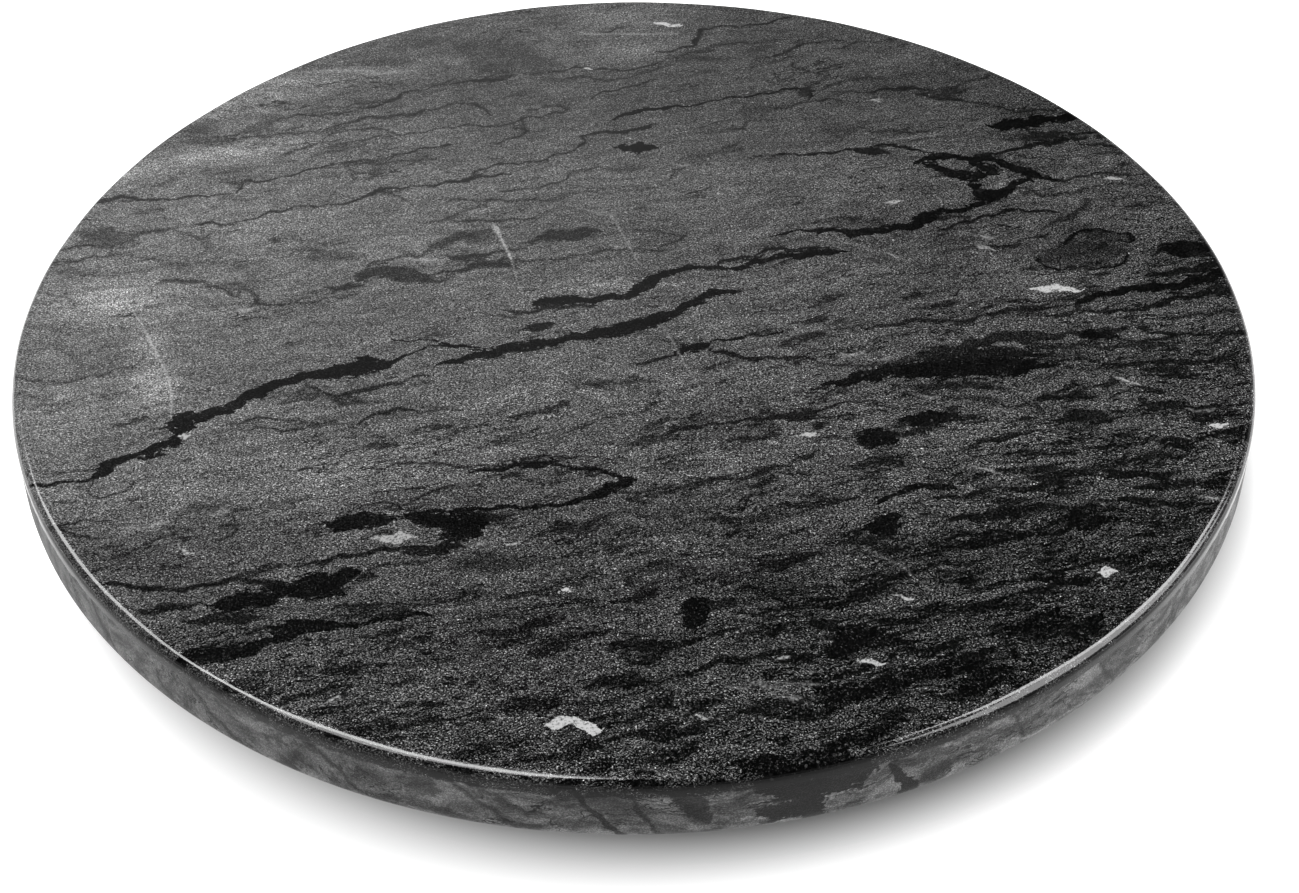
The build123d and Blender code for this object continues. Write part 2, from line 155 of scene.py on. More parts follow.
DARK = [
    # the broad vein at the left, and the lines under it
    (1, [(-141, -61, .4), (-137, -61, .7), (-133, -60, .5), (-126, -59, .6), (-122, -57, 1.6), (-122, -54, 1.9),
         (-118, -52, 1.2), (-113, -49, 1.3), (-108, -46, 1.6), (-106, -42, 2.4), (-107, -38, 2.4),
         (-103, -37, 1.9), (-98, -34, 1.6), (-93, -30, 1.6), (-89, -27, 2.1), (-84, -24, 1.7), (-77, -22, 1.8),
         (-70, -20, 2.3), (-65, -18, 3.1), (-61, -18, 2), (-57, -16, .7), (-54, -13, .4), (-48, -11, .35),
         (-41, -11, .4)]),
    (1, [(-118, -53, .5), (-114, -52, .6), (-110, -51, .3)]),
    (.9, [(-125, -60, .3), (-125, -64, .3), (-122, -66, .3), (-118, -64, .3), (-115, -61, .3)]),
    (.9, [(-115, -43, .3), (-109, -41, .5)]),
    (.85, [(-96, -40, .3), (-89, -38, .6), (-81, -39, .4), (-70, -39, .5)]),
    (.85, [(-90, -42, .4), (-81, -42, .6), (-75, -40, .4), (-68, -40, .3)]),
    (.9, [(-78, -27, .4), (-71, -29, .7), (-65, -27, 1.2), (-59, -26, .8), (-54, -24, .5), (-49, -22, .4)]),
    (.8, [(-73, -30, .5), (-67, -32, 1.1), (-61, -32, .5)]),
    (.9, [(-65, -40, .4), (-59, -36, .9), (-55, -35, .7), (-49, -35, .3), (-42, -35, .3)]),
    (.8, [(-79, -26, .3), (-80, -30, .4), (-77, -31, .4), (-74, -29, .3)]),
    # the centre vein
    (1, [(-60, -8, .3), (-50, -9, .3), (-43, -11, .5), (-34, -11, .4)]),
    (1, [(-47, -18, .6), (-43, -16, 1.2), (-38, -14, 1.4), (-33, -13, 1.9), (-28, -11, 2), (-24, -11, 2.1),
         (-19, -9, 1.5), (-14, -7, 1.8), (-9, -6, 2.6), (-4, -5, 2.9), (1, -3, 2.7), (6, -1, 2), (11, 3, 1.3),
         (15, 7, 1.3), (19, 10, 1.5), (23, 11, 1.3), (27, 10, .4)]),
    lens(.95, -24, -4, 7, 1.8), (.9, [(-30, 2, .5), (-20, 4, 1), (-10, 5, .5)]),
    # the upper centre vein
    (1, [(-24, 6, 1.2), (-18, 7, 1.8), (-12, 7, 1.3), (-6, 9, 1.3), (-1, 10, 1.8), (3, 14, 2.1), (7, 17, 1.6),
         (11, 19, 1), (19, 21, .8), (24, 20, .7), (29, 22, 1.3), (35, 24, 1.2), (40, 25, 1.3), (46, 26, 1.5),
         (51, 28, 1.2), (54, 27, .4)]),
    (.95, [(20, 22, .4), (25, 25, .8), (30, 25, .5), (35, 28, .7), (43, 28, .5), (50, 30, .3)]),
    (.7, [(20, 30, .3), (30, 30, .3), (40, 31, .3), (46, 33, .3)]),
    # the right vein and its knot
    (1, [(36, 34, .3), (43, 36, .5), (48, 36, 1), (53, 37, .9), (57, 35, 1.6), (63, 36, 1.7), (69, 37, 1.7),
         (75, 39, 1.3), (78, 42, 1)]),
    (1, [(74, 41, 1), (78, 44, 1.5), (82, 45, 1.1), (88, 46, 1.1), (94, 49, 1.4), (97, 51, .9)]),
    (.95, [(81, 37, .4), (87, 40, .7), (93, 42, .6), (100, 45, .6), (106, 45, .6), (111, 44, .5)]),
    (.8, [(109, 39, 1), (114, 41, 1.6), (118, 45, 1.5), (119, 49, 1)]),
    (1, [(76, 67, 1.2), (81, 69, 1.3), (88, 69, 1.3), (94, 69, 1.2), (99, 68, 1)]),
    (1, [(79, 65, 1.4), (85, 62, 1.9), (91, 61, 2), (95, 62, 1.2)]),
    (1, [(91, 68, 1.2), (94, 65, 1.6), (97, 62, 1.2)]),
    (1, [(95, 70, 1.1), (100, 66, 1.8), (104, 63, 1.8), (109, 60, 1.5), (113, 59, .8)]),
    (.9, [(109, 60, .7), (116, 59, .6), (124, 61, .5), (133, 61, .4)]),
    (1, [(106, 60, .9), (101, 56, 1.2), (98, 53, 1.7), (94, 52, 1.6), (91, 55, 1.1)]),
    (1, [(90, 57, .9), (92, 52, 1.4), (96, 49, 1.1)]),
    (.8, [(104, 54, .8), (110, 52, 1.1), (117, 53, .8), (124, 55, .5)]),
    (.95, [(94, 71, .7), (101, 72, .8), (107, 74, .9), (113, 76, 1.2), (118, 78, .7), (124, 79, .5)]),
    lens(.85, 111, 79, 12, 2.2, 8),
    (.95, [(33, 70, .3), (42, 71, .5), (51, 72, .6), (59, 73, .6), (66, 74, .6), (69, 76, .7), (73, 75, .8),
           (79, 72, .5), (86, 70, .5)]),
    lens(.95, 64, 72, 9, 1.3, 0), lens(1, 108, 86, 19, 2.8, 9),
    (1, [(100, 84, .8), (110, 85, 1.4), (121, 89, 1.6), (126, 91, 1)]),
    (.9, [(108, 81, .6), (118, 81, .6), (128, 81, .8)]), (.9, [(121, 76, .5), (126, 75, .8), (131, 73, .6)]),
    (.8, [(125, 71, .5), (132, 70, .7)]),
    # the dark lens at the right: an outline round a softer inside
    (.62, [(107, 24, 3), (112, 26, 4.2), (118, 28, 5.2), (123, 27, 3.8)]),
    (.62, [(118, 33, 2.4), (124, 33.5, 2.4), (127, 33, 1.2)]), (.5, [(110, 22, 2.5), (120, 22.5, 2.5)]),
    (1, [(103, 23, .6), (107, 26, .5), (111, 30, .6), (116, 35, .8), (119, 36, .8), (125, 35, .7),
         (129, 34, .8), (128, 31, .6), (124, 31, .4), (126, 27, .5), (126, 23, .5), (122, 20, .6),
         (115, 20, .4), (107, 19, .5), (103, 23, .6)]),
    lens(1, 143, 28, 15, 3.4, 8), (.9, [(133, 25, .6), (138, 27, 1.2), (145, 26, 2), (151, 27, 2)]),
    # stripes at the right edge
    (1, [(111, 5, .8), (115, 8, 1.4), (121, 9, 1.3), (128, 11, 1.4), (136, 12, 1.6), (143, 14, 2),
         (152, 17, 1.6)]),
    (.95, [(113, 2, .6), (120, 1, .7), (128, 3, .8), (135, 7, 1), (143, 8, 1.3), (153, 10, 1.4)]),
    (.95, [(131, 16, 1), (138, 18, 1.4), (145, 20, 1.7), (153, 22, 1.4)]), (.9, [(112, 2, .8), (111, 5, .9)]),
    (.8, [(133, -1, .8), (142, 0, 1), (153, 3, 1)]),
    (.9, [(57, -4, .4), (65, -3, .9), (71, -2, 1.1), (80, -2, .7), (88, 1, .8), (95, 2, 1.2), (100, 2, .8),
          (106, 4, .5)]),
    (.8, [(57, 1, .3), (63, 5, .3), (71, 8, .3), (81, 11, .3), (90, 12, .3)]),
    # the large dark area right of the centre
    (.9, [(70, -15, 1.2), (80, -12, 2), (88, -10, 1.7), (99, -9, 1.2), (106, -8, .7)]),
    (1, [(46, -26, .9), (54, -24, 2), (62, -22, 2.2), (69, -21, 3), (78, -20, 4), (86, -20, 4.2), (92, -20, 3),
         (98, -19, 1.6), (103, -19, .6)]),
    (.95, [(72, -17, 2), (81, -16, 2.4), (90, -15, 2), (97, -15, 1.4), (103, -15, .7)]),
    (.85, [(66, -27, .7), (75, -27, 1.3), (84, -27, 1.2), (90, -28, .6)]),
    (.8, [(46, -18, .5), (55, -19, .8), (63, -18, .7), (70, -16, .8)]),
    (.85, [(98, -12, .5), (108, -12, .8), (116, -13, .6), (123, -11, .5)]),
    (.9, [(88, -8, .6), (95, -7, .8), (102, -7, .7), (110, -7, 1.1), (116, -7, 1.5), (122, -5, .7)]),
    lens(1, 114, -8, 10, 2.2, -10),
    (.9, [(116, -9, .8), (125, -10, .7), (135, -8, .9), (143, -8, .6), (153, -6, .8)]),
    lens(.85, 128, -12, 14, .9, 6), lens(.8, 140, -16, 12, .8, 5), lens(.75, 105, -16, 12, .8, 12),
    (1, [(18, -10, .3), (25, -9, .5), (30, -7, .4), (36, -6, .4)]), lens(1, 14, -12, 9, 2, 16),
    (.95, [(1, -18, .4), (6, -16, .6), (11, -13, .5)]),
    (.95, [(19, -14, .5), (24, -15, 1.1), (30, -16, .6), (37, -16, .6), (44, -17, .5)]),
    lens(.85, 43, -8, 8, 1.3, 8), (.7, [(34, -11, .3), (40, -10, .4), (47, -10, .3)]),
    # middle of the front half
    (.95, [(-1, -48, .6), (4, -46, .9), (9, -44, .6), (15, -41, .8), (23, -40, .5), (31, -39, .7),
           (38, -38, 1.7), (43, -37, 1), (46, -35, .5), (51, -33, .4), (57, -33, .3)]),
    lens(.9, 39, -37.5, 11, 1.9, 12), lens(.6, 30, -43, 9, 1.5, 8), lens(.75, 3, -47, 9, 1.3, 14),
    lens(1, 70, -39, 11, 2.8, 6), lens(1, 57, -46, 8, 3.2, 24), (.8, [(62, -42, 1), (66, -40, 1.2)]),
    lens(.9, 108, -38, 9, 2.2, 8), lens(.8, 105, -43, 9, 1.4, 4),
    (.8, [(108, -38, .6), (118, -37, .5), (126, -38, .3)]), (.8, [(74, -32, .5), (81, -32, .8), (88, -33, .5)]),
    lens(.7, 91, -34, 12, .8, 4),
    (.9, [(-62, -56, .3), (-52, -54, .5), (-45, -55, .5), (-37, -55, .4), (-31, -54, .4), (-25, -53, .5),
          (-15, -52, .4), (-8, -52, .3)]),
    (1, [(-38, -57, .3), (-30, -56, .9), (-22, -55, 1), (-16, -55, .5), (-11, -56, .8), (-7, -57, .8),
         (-2, -60, .7)]),
    (.8, [(-28, -61, .3), (-20, -61, .4), (-14, -60, .3)]), (.8, [(3, -57, .3), (8, -55, .4), (16, -55, .3)]),
    (1, [(0, -61, 1), (-4, -63, 1.6), (-8, -65, 1.8), (-12, -67, 1.2), (-16, -68, .9), (-22, -69, .6),
         (-29, -70, .6), (-37, -70, .7), (-46, -70, .5)]),
    (.9, [(-4, -65, .4), (5, -64, .4), (13, -63, .5), (19, -61, .5), (25, -60, .5), (32, -60, .3)]),
    (1, [(56, -68, .5), (62, -65, .9), (70, -63, .9), (75, -64, .4)]),
    (.9, [(82, -64, .6), (88, -64, .5), (95, -65, .7), (102, -65, .5)]), lens(1, -62, -74, 13, 3, 0),
    (1, [(-51, -72, 1.5), (-46, -73, 2.4), (-41, -74, 3.4), (-37, -75, 3.2), (-34, -73, 1.2)]),
    (1, [(-41, -77, 2.6), (-37, -78, 2.2)]), lens(.95, -44, -83, 12, 2.4, 4), lens(.9, -31, -73, 5, 1.2, 0),
    (.95, [(-74, -88, .5), (-67, -86, .9), (-61, -85, .8), (-55, -83, .8), (-50, -82, .8)]),
    (.9, [(-65, -68, .3), (-59, -68, .5), (-53, -69, .4), (-49, -67, .3), (-44, -67, .3)]),
    (.7, [(-101, -69, .3), (-92, -68, .3), (-85, -68, .3), (-76, -67, .3)]),
    (.85, [(-100, -71, .3), (-95, -70, .3), (-91, -72, .4), (-90, -76, .4), (-93, -79, .6)]),
    (.9, [(-131, -75, .5), (-125, -74, .4), (-119, -73, .3)]),
    (.9, [(-130, -76, .4), (-122, -79, .3), (-117, -78, .3)]), (.8, [(-116, -85, .3), (-111, -83, .5)]),
    # the dark front left
    (1, [(-80, -94, 1.2), (-75, -95, 2.6), (-70, -94, 3.4), (-66, -93, 2.8), (-62, -91, 1.4)]),
    lens(1, -69, -97, 12, 2.2, 0), lens(1, -84, -99, 16, 2.6, 14), lens(.9, -89, -105, 17, 1.5, 8),
    lens(.9, -101, -101, 13, 1.4, 6),
    (.95, [(-116, -94, .7), (-107, -95, .8), (-99, -95, .8), (-93, -94, .7), (-86, -93, .9), (-79, -93, .8)]),
    lens(1, -71, -107, 14, 2, 4), (1, [(-64, -107, .8), (-55, -105, .9), (-44, -104, .7)]),
    (1, [(-97, -117, 1.2), (-91, -115, 2.2), (-84, -114, 2.4), (-78, -112, 1.8), (-72, -110, .9)]),
    lens(.9, -61, -120, 9, 1.9, 6), lens(.9, -18, -114, 7, 2.6, 20), lens(.85, -51, -103, 5, 1.8, 0),
    lens(.6, -30, -88, 22, 2.6, 6), lens(.6, -12, -76, 16, 1.6, 8), lens(.6, 28, -74, 16, 1.8, 8),
    (.9, [(-74, -129, .5), (-67, -126, .8), (-61, -125, .5)]), (.9, [(-48, -133, .4), (-41, -131, .7)]),
    (.9, [(-38, -136, .4), (-30, -134, .6)]), lens(.8, -47, -123, 12, 1, 14), lens(.8, -84, -124, 9, 1.2, 10),
    # the dark front right
    lens(1, 57, -76, 7, 3.2, 60), lens(.9, 53, -81, 13, 1.4, 4), lens(1, 103, -76, 8, 2.4, 10),
    (.95, [(70, -80, .6), (81, -79, .8), (91, -79, .9), (100, -77, .9)]), lens(.95, 114, -68, 8, 1.4, 12),
    lens(.85, 112, -56, 19, 1.5, 10), lens(.85, 122, -53, 12, 1.3, 8), lens(.8, 95, -58, 14, 1.1, 8),
    lens(.85, 88, -71, 14, 1.3, 8), lens(.85, 96, -70, 12, 1, -6), lens(.8, 126, -62, 10, 1.2, 14),
    lens(1, 14, -103, 8, 3.4, 80), lens(.8, 20, -101, 10, 1.6, 4), lens(1, 47, -113, 12, 2.8, 40),
    lens(.95, 54, -112, 13, 1.8, -4), (1, [(80, -109, .7), (86, -107, 1.3), (91, -104, .9)]),
    (1, [(93, -110, .9), (97, -108, 1.2), (101, -104, .8)]), lens(.9, 106, -88, 9, .9, 6),
    lens(1, 43, -127, 10, 1.8, -8), lens(.9, 30, -131, 14, 1.8, 10), lens(.85, 55, -133, 9, 1.4, 8),
    lens(.6, 31, -96, 14, 2.2, 6), lens(.7, 55, -97, 10, 1.4, 4), lens(.7, 8, -112, 12, 1.2, 6),
    (.9, [(60, -122, .6), (70, -119, .8), (79, -117, .6)]), lens(.8, 70, -104, 16, 1.2, 4),
    lens(.8, 72, -92, 16, 1.1, 8), lens(.7, 96, -88, 14, 1.1, 6), lens(.7, 120, -78, 12, 1.2, 10),
    lens(.7, 5, -90, 18, 1.3, 6), lens(.7, -8, -130, 12, 1, 10),
    # over the front edge and down the side
    (1, [(22, -147, 1.4), (30, -147, 2.2), (37, -146, 2.8), (44, -147, 2.4), (50, -147, 1.2)]),
    (1, [(28, -151, 3), (38, -152, 3.6), (47, -150, 2.6)]),
    (1, [(30, -159, 2.6), (38, -158, 3.4), (42, -162, 2)]),
    (1, [(55, -147, 1), (61, -151, 2), (63, -156, 2.4), (60, -160, 1)]),
    (.95, [(-12, -152, .8), (-9, -158, 1), (-4, -165, 1.1), (0, -170, .9)]),
    (.9, [(-2, -153, .7), (2, -159, .8), (8, -167, .8)]),
    (.9, [(8, -153, 1.6), (13, -157, 2.4), (16, -162, 1.2)]),
    (.8, [(-38, -148, .8), (-33, -156, .9), (-27, -164, .8)]),
    (.8, [(-70, -136, .6), (-66, -144, .8), (-62, -153, .6)]),
    (.8, [(-96, -121, .6), (-95, -129, .8), (-92, -137, .7)]),
    (.8, [(-121, -95, .6), (-124, -101, .8), (-124, -109, .6)]),
    (.8, [(80, -132, .6), (87, -135, .8), (93, -140, .6)]),
    (.8, [(101, -116, .6), (108, -119, .9), (117, -120, .6)]),
    (.8, [(124, -92, .7), (131, -94, .9), (139, -93, .6)]),
    (.8, [(143, -60, .8), (151, -61, 1), (158, -58, .6)]),
    # long thin lines of the back half
    (.9, [(-116, 80, .5), (-108, 83, .5), (-101, 88, .5), (-98, 90, .4), (-91, 91, .4), (-85, 92, .4),
          (-78, 94, .4), (-72, 96, .7), (-67, 99, .9), (-65, 102, .5), (-59, 104, .4), (-54, 107, .3),
          (-49, 108, .4), (-45, 109, .9), (-39, 108, .9), (-35, 111, .5), (-29, 112, .3), (-23, 113, .4),
          (-17, 115, .4), (-11, 114, .4), (-5, 114, .4), (1, 115, .4), (8, 118, .4), (13, 120, .4),
          (17, 122, .4), (22, 124, .4)]),
    (.8, [(-90, 94, .3), (-82, 96, .3), (-74, 98, .4), (-67, 99, .5)]),
    (.85, [(-115, 80, .5), (-107, 81, .5), (-100, 81, .4), (-91, 83, .4), (-81, 84, .4), (-72, 84, .5),
           (-67, 84, .4), (-64, 82, .4), (-59, 83, .4), (-54, 84, .3), (-49, 85, .4), (-43, 86, .5),
           (-37, 86, .5), (-33, 88, .5), (-29, 90, .6), (-25, 90, .4), (-20, 92, .5), (-18, 94, .5),
           (-21, 95, .4), (-29, 94, .3)]),
    (.85, [(-97, 71, .3), (-91, 75, .5), (-86, 78, .4), (-79, 77, .4), (-72, 80, .4), (-67, 81, .4)]),
    (.75, [(-86, 72, .4), (-80, 74, .6), (-74, 76, .4)]),
    (.85, [(-86, 85, .4), (-79, 88, .7), (-73, 90, .8), (-67, 90, .6), (-62, 92, .8), (-58, 94, .6),
           (-53, 96, .5), (-48, 97, .5), (-44, 96, .5), (-42, 94, .6), (-40, 91, .4)]),
    (.9, [(-143, 50, 1.2), (-138, 52, 1.1), (-133, 52, .8), (-125, 52, .5), (-118, 53, .5), (-112, 53, .4),
          (-107, 54, .4), (-105, 56, .4), (-104, 59, .7), (-100, 60, .6), (-95, 62, .5), (-90, 64, .5),
          (-85, 66, .5), (-80, 67, .5), (-75, 69, .5), (-69, 70, .4), (-65, 72, .5), (-60, 74, .5),
          (-55, 75, .5), (-50, 76, .5)]),
    (.85, [(-80, 67, .4), (-72, 68, .3), (-63, 69, .4), (-55, 69, .3)]), (.8, [(-110, 59, .4), (-104, 59, .7)]),
    (.8, [(-79, 67, .3), (-76, 65, .3), (-71, 64, .3), (-68, 66, .4), (-71, 61, .3)]),
    (.8, [(-109, 51, .3), (-104, 52, .3), (-100, 52, .3)]),
    (.9, [(-114, 40, .3), (-110, 41, .5), (-105, 41, .4), (-100, 43, .4), (-97, 45, .9), (-93, 46, .6),
          (-87, 48, .4), (-81, 49, .4), (-76, 50, .4), (-72, 52, .9), (-69, 55, 1.1), (-63, 56, .5),
          (-57, 57, .4), (-51, 59, .6), (-46, 60, 1.1), (-41, 61, .8), (-34, 62, .4)]),
    (.8, [(-69, 55, .6), (-65, 53, .6), (-61, 51, .3)]),
    (.9, [(-43, 61, .4), (-43, 64, .5), (-39, 66, .4), (-35, 67, .4), (-28, 68, .4), (-23, 70, .4),
          (-21, 72, .5), (-17, 73, .5), (-15, 76, .6), (-14, 78, .6), (-15, 81, .5), (-11, 82, .6),
          (-5, 82, .9), (1, 83, .9), (5, 86, .7)]),
    lens(1, 0, 75, 10, 2.2, 4), lens(.5, -3, 65, 9, 1.8, 0),
    (1, [(-5, 89, .8), (0, 92, 1.2), (4, 93, .8), (10, 95, .5), (18, 96, .4), (23, 98, .4), (29, 99, .4),
         (35, 101, .4), (40, 103, .5), (45, 104, .5), (49, 103, .8), (49, 100, .7)]),
    lens(.8, 48, 102, 6, 1.8, 60), (.9, [(-12, 100, .3), (-8, 103, .5), (-1, 105, .4), (5, 108, .4)]),
    (.8, [(-18, 110, .5), (-11, 109, .6), (-5, 109, .3), (1, 112, .3), (10, 116, .3)]),
    (.85, [(-33, 85, .5), (-30, 83, .7), (-32, 80, .6), (-36, 78, .6)]), (.8, [(-31, 87, .4), (-31, 84, .7)]),
    (.8, [(-50, 51, .4), (-42, 50, .6), (-31, 51, .6), (-18, 50, .5)]),
    (.85, [(-34, 55, .5), (-29, 56, .3), (-22, 58, .4), (-19, 60, .4), (-17, 63, .4), (-14, 64, .4),
           (-9, 65, .3)]),
    (.75, [(-19, 53, .3), (-10, 54, .3), (0, 55, .3), (6, 55, .25)]),
    (.8, [(-50, 41, .3), (-46, 45, .4), (-40, 48, .4)]),
    (.85, [(-56, 41, .3), (-46, 41, .3), (-37, 42, .6), (-26, 42, .4)]),
    (.75, [(-54, 27, .8), (-50, 31, 1.6), (-44, 35, 1.8), (-38, 37, 1)]),
    (.6, [(-42, 33, 1.2), (-37, 35, 1.2)]),
    (.85, [(-47, 26, 1), (-43, 26, 1.6), (-38, 27, .8), (-32, 28, .5), (-25, 30, .4)]),
    lens(.8, -17, 35.5, 15, 2.6, 10), (.85, [(-27, 31, .6), (-24, 33, .7), (-20, 35, .8)]),
    (.85, [(-42, 23, .4), (-32, 24, .6), (-25, 24, .4), (-15, 26, .4), (-5, 28, .4), (2, 29, .3)]),
    (.85, [(-50, 19, .5), (-45, 20, 1), (-40, 22, 1.5), (-35, 22, 1.2), (-30, 20, .6)]),
    lens(.55, -77, 26, 16, 2.4, 2), (.8, [(-84, 31, .3), (-82, 29, .5), (-79, 28, .3)]),
    (.82, [(-70, 18, 1.6), (-66, 20, 2.4), (-61, 19, 3.4), (-56, 17, 2.8), (-51, 16, 1), (-46, 17, .6)]),
    lens(.85, -73, 13.5, 9, 1.3, 6),
    (.85, [(-71, 19, .4), (-67, 23, .5), (-63, 25, .4), (-55, 26, .6), (-52, 30, .5)]),
    (.7, [(-58, 27, 1), (-55, 26, .6)]),
    (.8, [(-120, 17, .5), (-114, 16, 1), (-110, 16, .6), (-107, 13, .5), (-103, 12, .7), (-100, 10, .5),
          (-99, 13, .3), (-96, 11, .8), (-95, 7, .8)]),
    (.85, [(-96, 6, .5), (-87, 6, .4), (-81, 7, .4), (-76, 9, .3), (-71, 10, .4)]),
    (.7, [(-104, 12, .4), (-103, 15, .4), (-98, 14, .3)]),
    (.7, [(-96, 24, .4), (-107, 24, .3), (-118, 24, .3), (-127, 26, .3)]),
    (.7, [(-94, 30, .3), (-89, 29, .3), (-86, 30, .3)]), (.75, [(-143, 12, .5), (-142, 10, .6), (-140, 6, .3)]),
    (.7, [(-148, 11, .4), (-142, 11, .3)]), (.5, [(-149, 20, .3), (-138, 20, .4), (-124, 20, .3)]),
    lens(.62, -137, 35, 13, 3.8, -10), (.8, [(-132, 36, .6), (-128, 37, .9), (-124, 38, .8), (-120, 38, .5)]),
    (.8, [(-120, 38, .4), (-118, 36, .4), (-112, 35, .4), (-109, 37, .4), (-103, 38, .3)]),
    (.7, [(-112, 35, .4), (-111, 31, .8), (-109, 31, .4)]),
    (.85, [(-148, 29, .5), (-142, 31, .5), (-137, 31, .5), (-132, 32, .6)]),
    (.85, [(-150, 23, .6), (-143, 25, .5), (-137, 27, .4), (-133, 28, .3)]),
    (.8, [(-153, -21, .5), (-147, -23, .4), (-140, -24, .4), (-133, -22, .4), (-126, -20, .3), (-121, -18, .3),
          (-119, -15, .3)]),
    (.7, [(-153, -29, .8), (-147, -29, .6), (-140, -30, .4)]),
    (.6, [(-142, -10, .3), (-137, -15, .3), (-133, -18, .3)]), (.6, [(-150, -37, .5), (-148, -45, .4)]),
    (.5, [(-141, -32, .3), (-139, -35, .3)]), lens(.42, -40, 124, 20, 6.5, -12), lens(.5, -38, 115, 12, 4, 0),
    lens(.45, -27, 117, 10, 4, 0), lens(.4, -25, 140, 12, 2.6, 10), lens(.5, -72, 118, 16, 2, 4),
    lens(.4, -60, 129, 18, 2, 16), lens(.5, -119, 85, 9, 3.2, 20), lens(.55, -103, 86, 8, 3, 40),
    lens(.55, -116, 79, 16, 1.8, 6), lens(.35, -112, 64, 16, 2.4, 6), lens(.35, -128, 60, 12, 2, 10),
    lens(.5, -97, 119, 10, 1.2, 10), lens(.35, -95, 20, 14, 2, 0), lens(.3, -126, -6, 12, 3, 30),
    (.9, [(8, 123, .4), (16, 126, .6), (17, 129, 1.1), (19, 131, .9), (19, 134, .8), (21, 135, .5),
          (28, 137, .4), (35, 138, .5), (41, 140, .6), (45, 142, .4)]),
    (.8, [(10, 120, .3), (16, 122, .5), (22, 126, .4), (27, 128, .4), (35, 128, .4), (41, 128, .3)]),
    lens(.6, 36, 124, 9, 1.4, 20),
    (.85, [(34, 118, .3), (38, 120, .4), (42, 121, .5), (45, 124, .9), (49, 127, .6), (54, 129, .5),
           (59, 129, .4)]),
    (.8, [(61, 125, .5), (63, 127, .5), (69, 128, .3), (75, 130, .3)]), lens(.65, 17, 119, 14, 1, 8),
    lens(.6, 19, 113, 8, .7, 0), (.85, [(45, 118, .4), (45, 115, .5), (49, 113, .4), (51, 112, .4)]),
    (.7, [(34, 115, .3), (37, 117, .4), (39, 118, .3)]), (.8, [(44, 95, .4), (50, 97, .5), (57, 98, .4)]),
    lens(.45, 35, 93, 12, 2, 8),
    (.85, [(56, 102, .4), (65, 102, .5), (70, 103, .8), (78, 103, .9), (83, 103, .5)]),
    (.8, [(84, 103, .5), (90, 105, .5), (95, 107, .4), (101, 109, .4)]), lens(.75, 89, 102, 9, 1.5, 16),
    lens(.55, 65, 109, 12, 1.2, 0), lens(.4, 30, 146, 18, 1.6, -8),
    (.85, [(79, 100, .5), (86, 99, 1.2), (91, 97, .6), (98, 95, .4)]),
    (.85, [(100, 94, .5), (107, 92, .7), (113, 92, .5), (118, 92, .6)]),
    (.8, [(20, 82, .3), (26, 83, .5), (30, 85, .5), (31, 88, .4)]),
    (.8, [(10, 60, .4), (11, 63, .4), (14, 66, .3), (20, 67, .3)]),
    (.75, [(12, 69, .3), (19, 71, .4), (25, 73, .4), (29, 74, .5)]), lens(.7, 27, 76, 5, 1.2, 30),
    lens(.5, 35, 69, 8, 1, 0), lens(.45, 57, 83, 12, 1.8, 8), (.7, [(68, 82, .8), (74, 82, .9), (81, 82, .5)]),
    (.85, [(6, 30, .3), (13, 34, .5), (8, 36, .3), (1, 37, .3)]), lens(.9, 96, 38, 2, .8, 0),
    (.7, [(77, 26, .3), (85, 28, .4), (91, 28, .4)]),
    (.7, [(-17, -29, .3), (-10, -26, .4), (-4, -25, .4), (2, -24, .3)]), lens(.6, 58, 40, 12, .6, 10),
    lens(.5, 110, 66, 12, 1, 10), lens(.5, 118, 65, 14, 1, 8), lens(.6, 104, 79, 10, 1.2, 12),
    lens(.6, 135, 57, 9, 1, 4), lens(.6, 136, 52, 12, .8, 8),
]

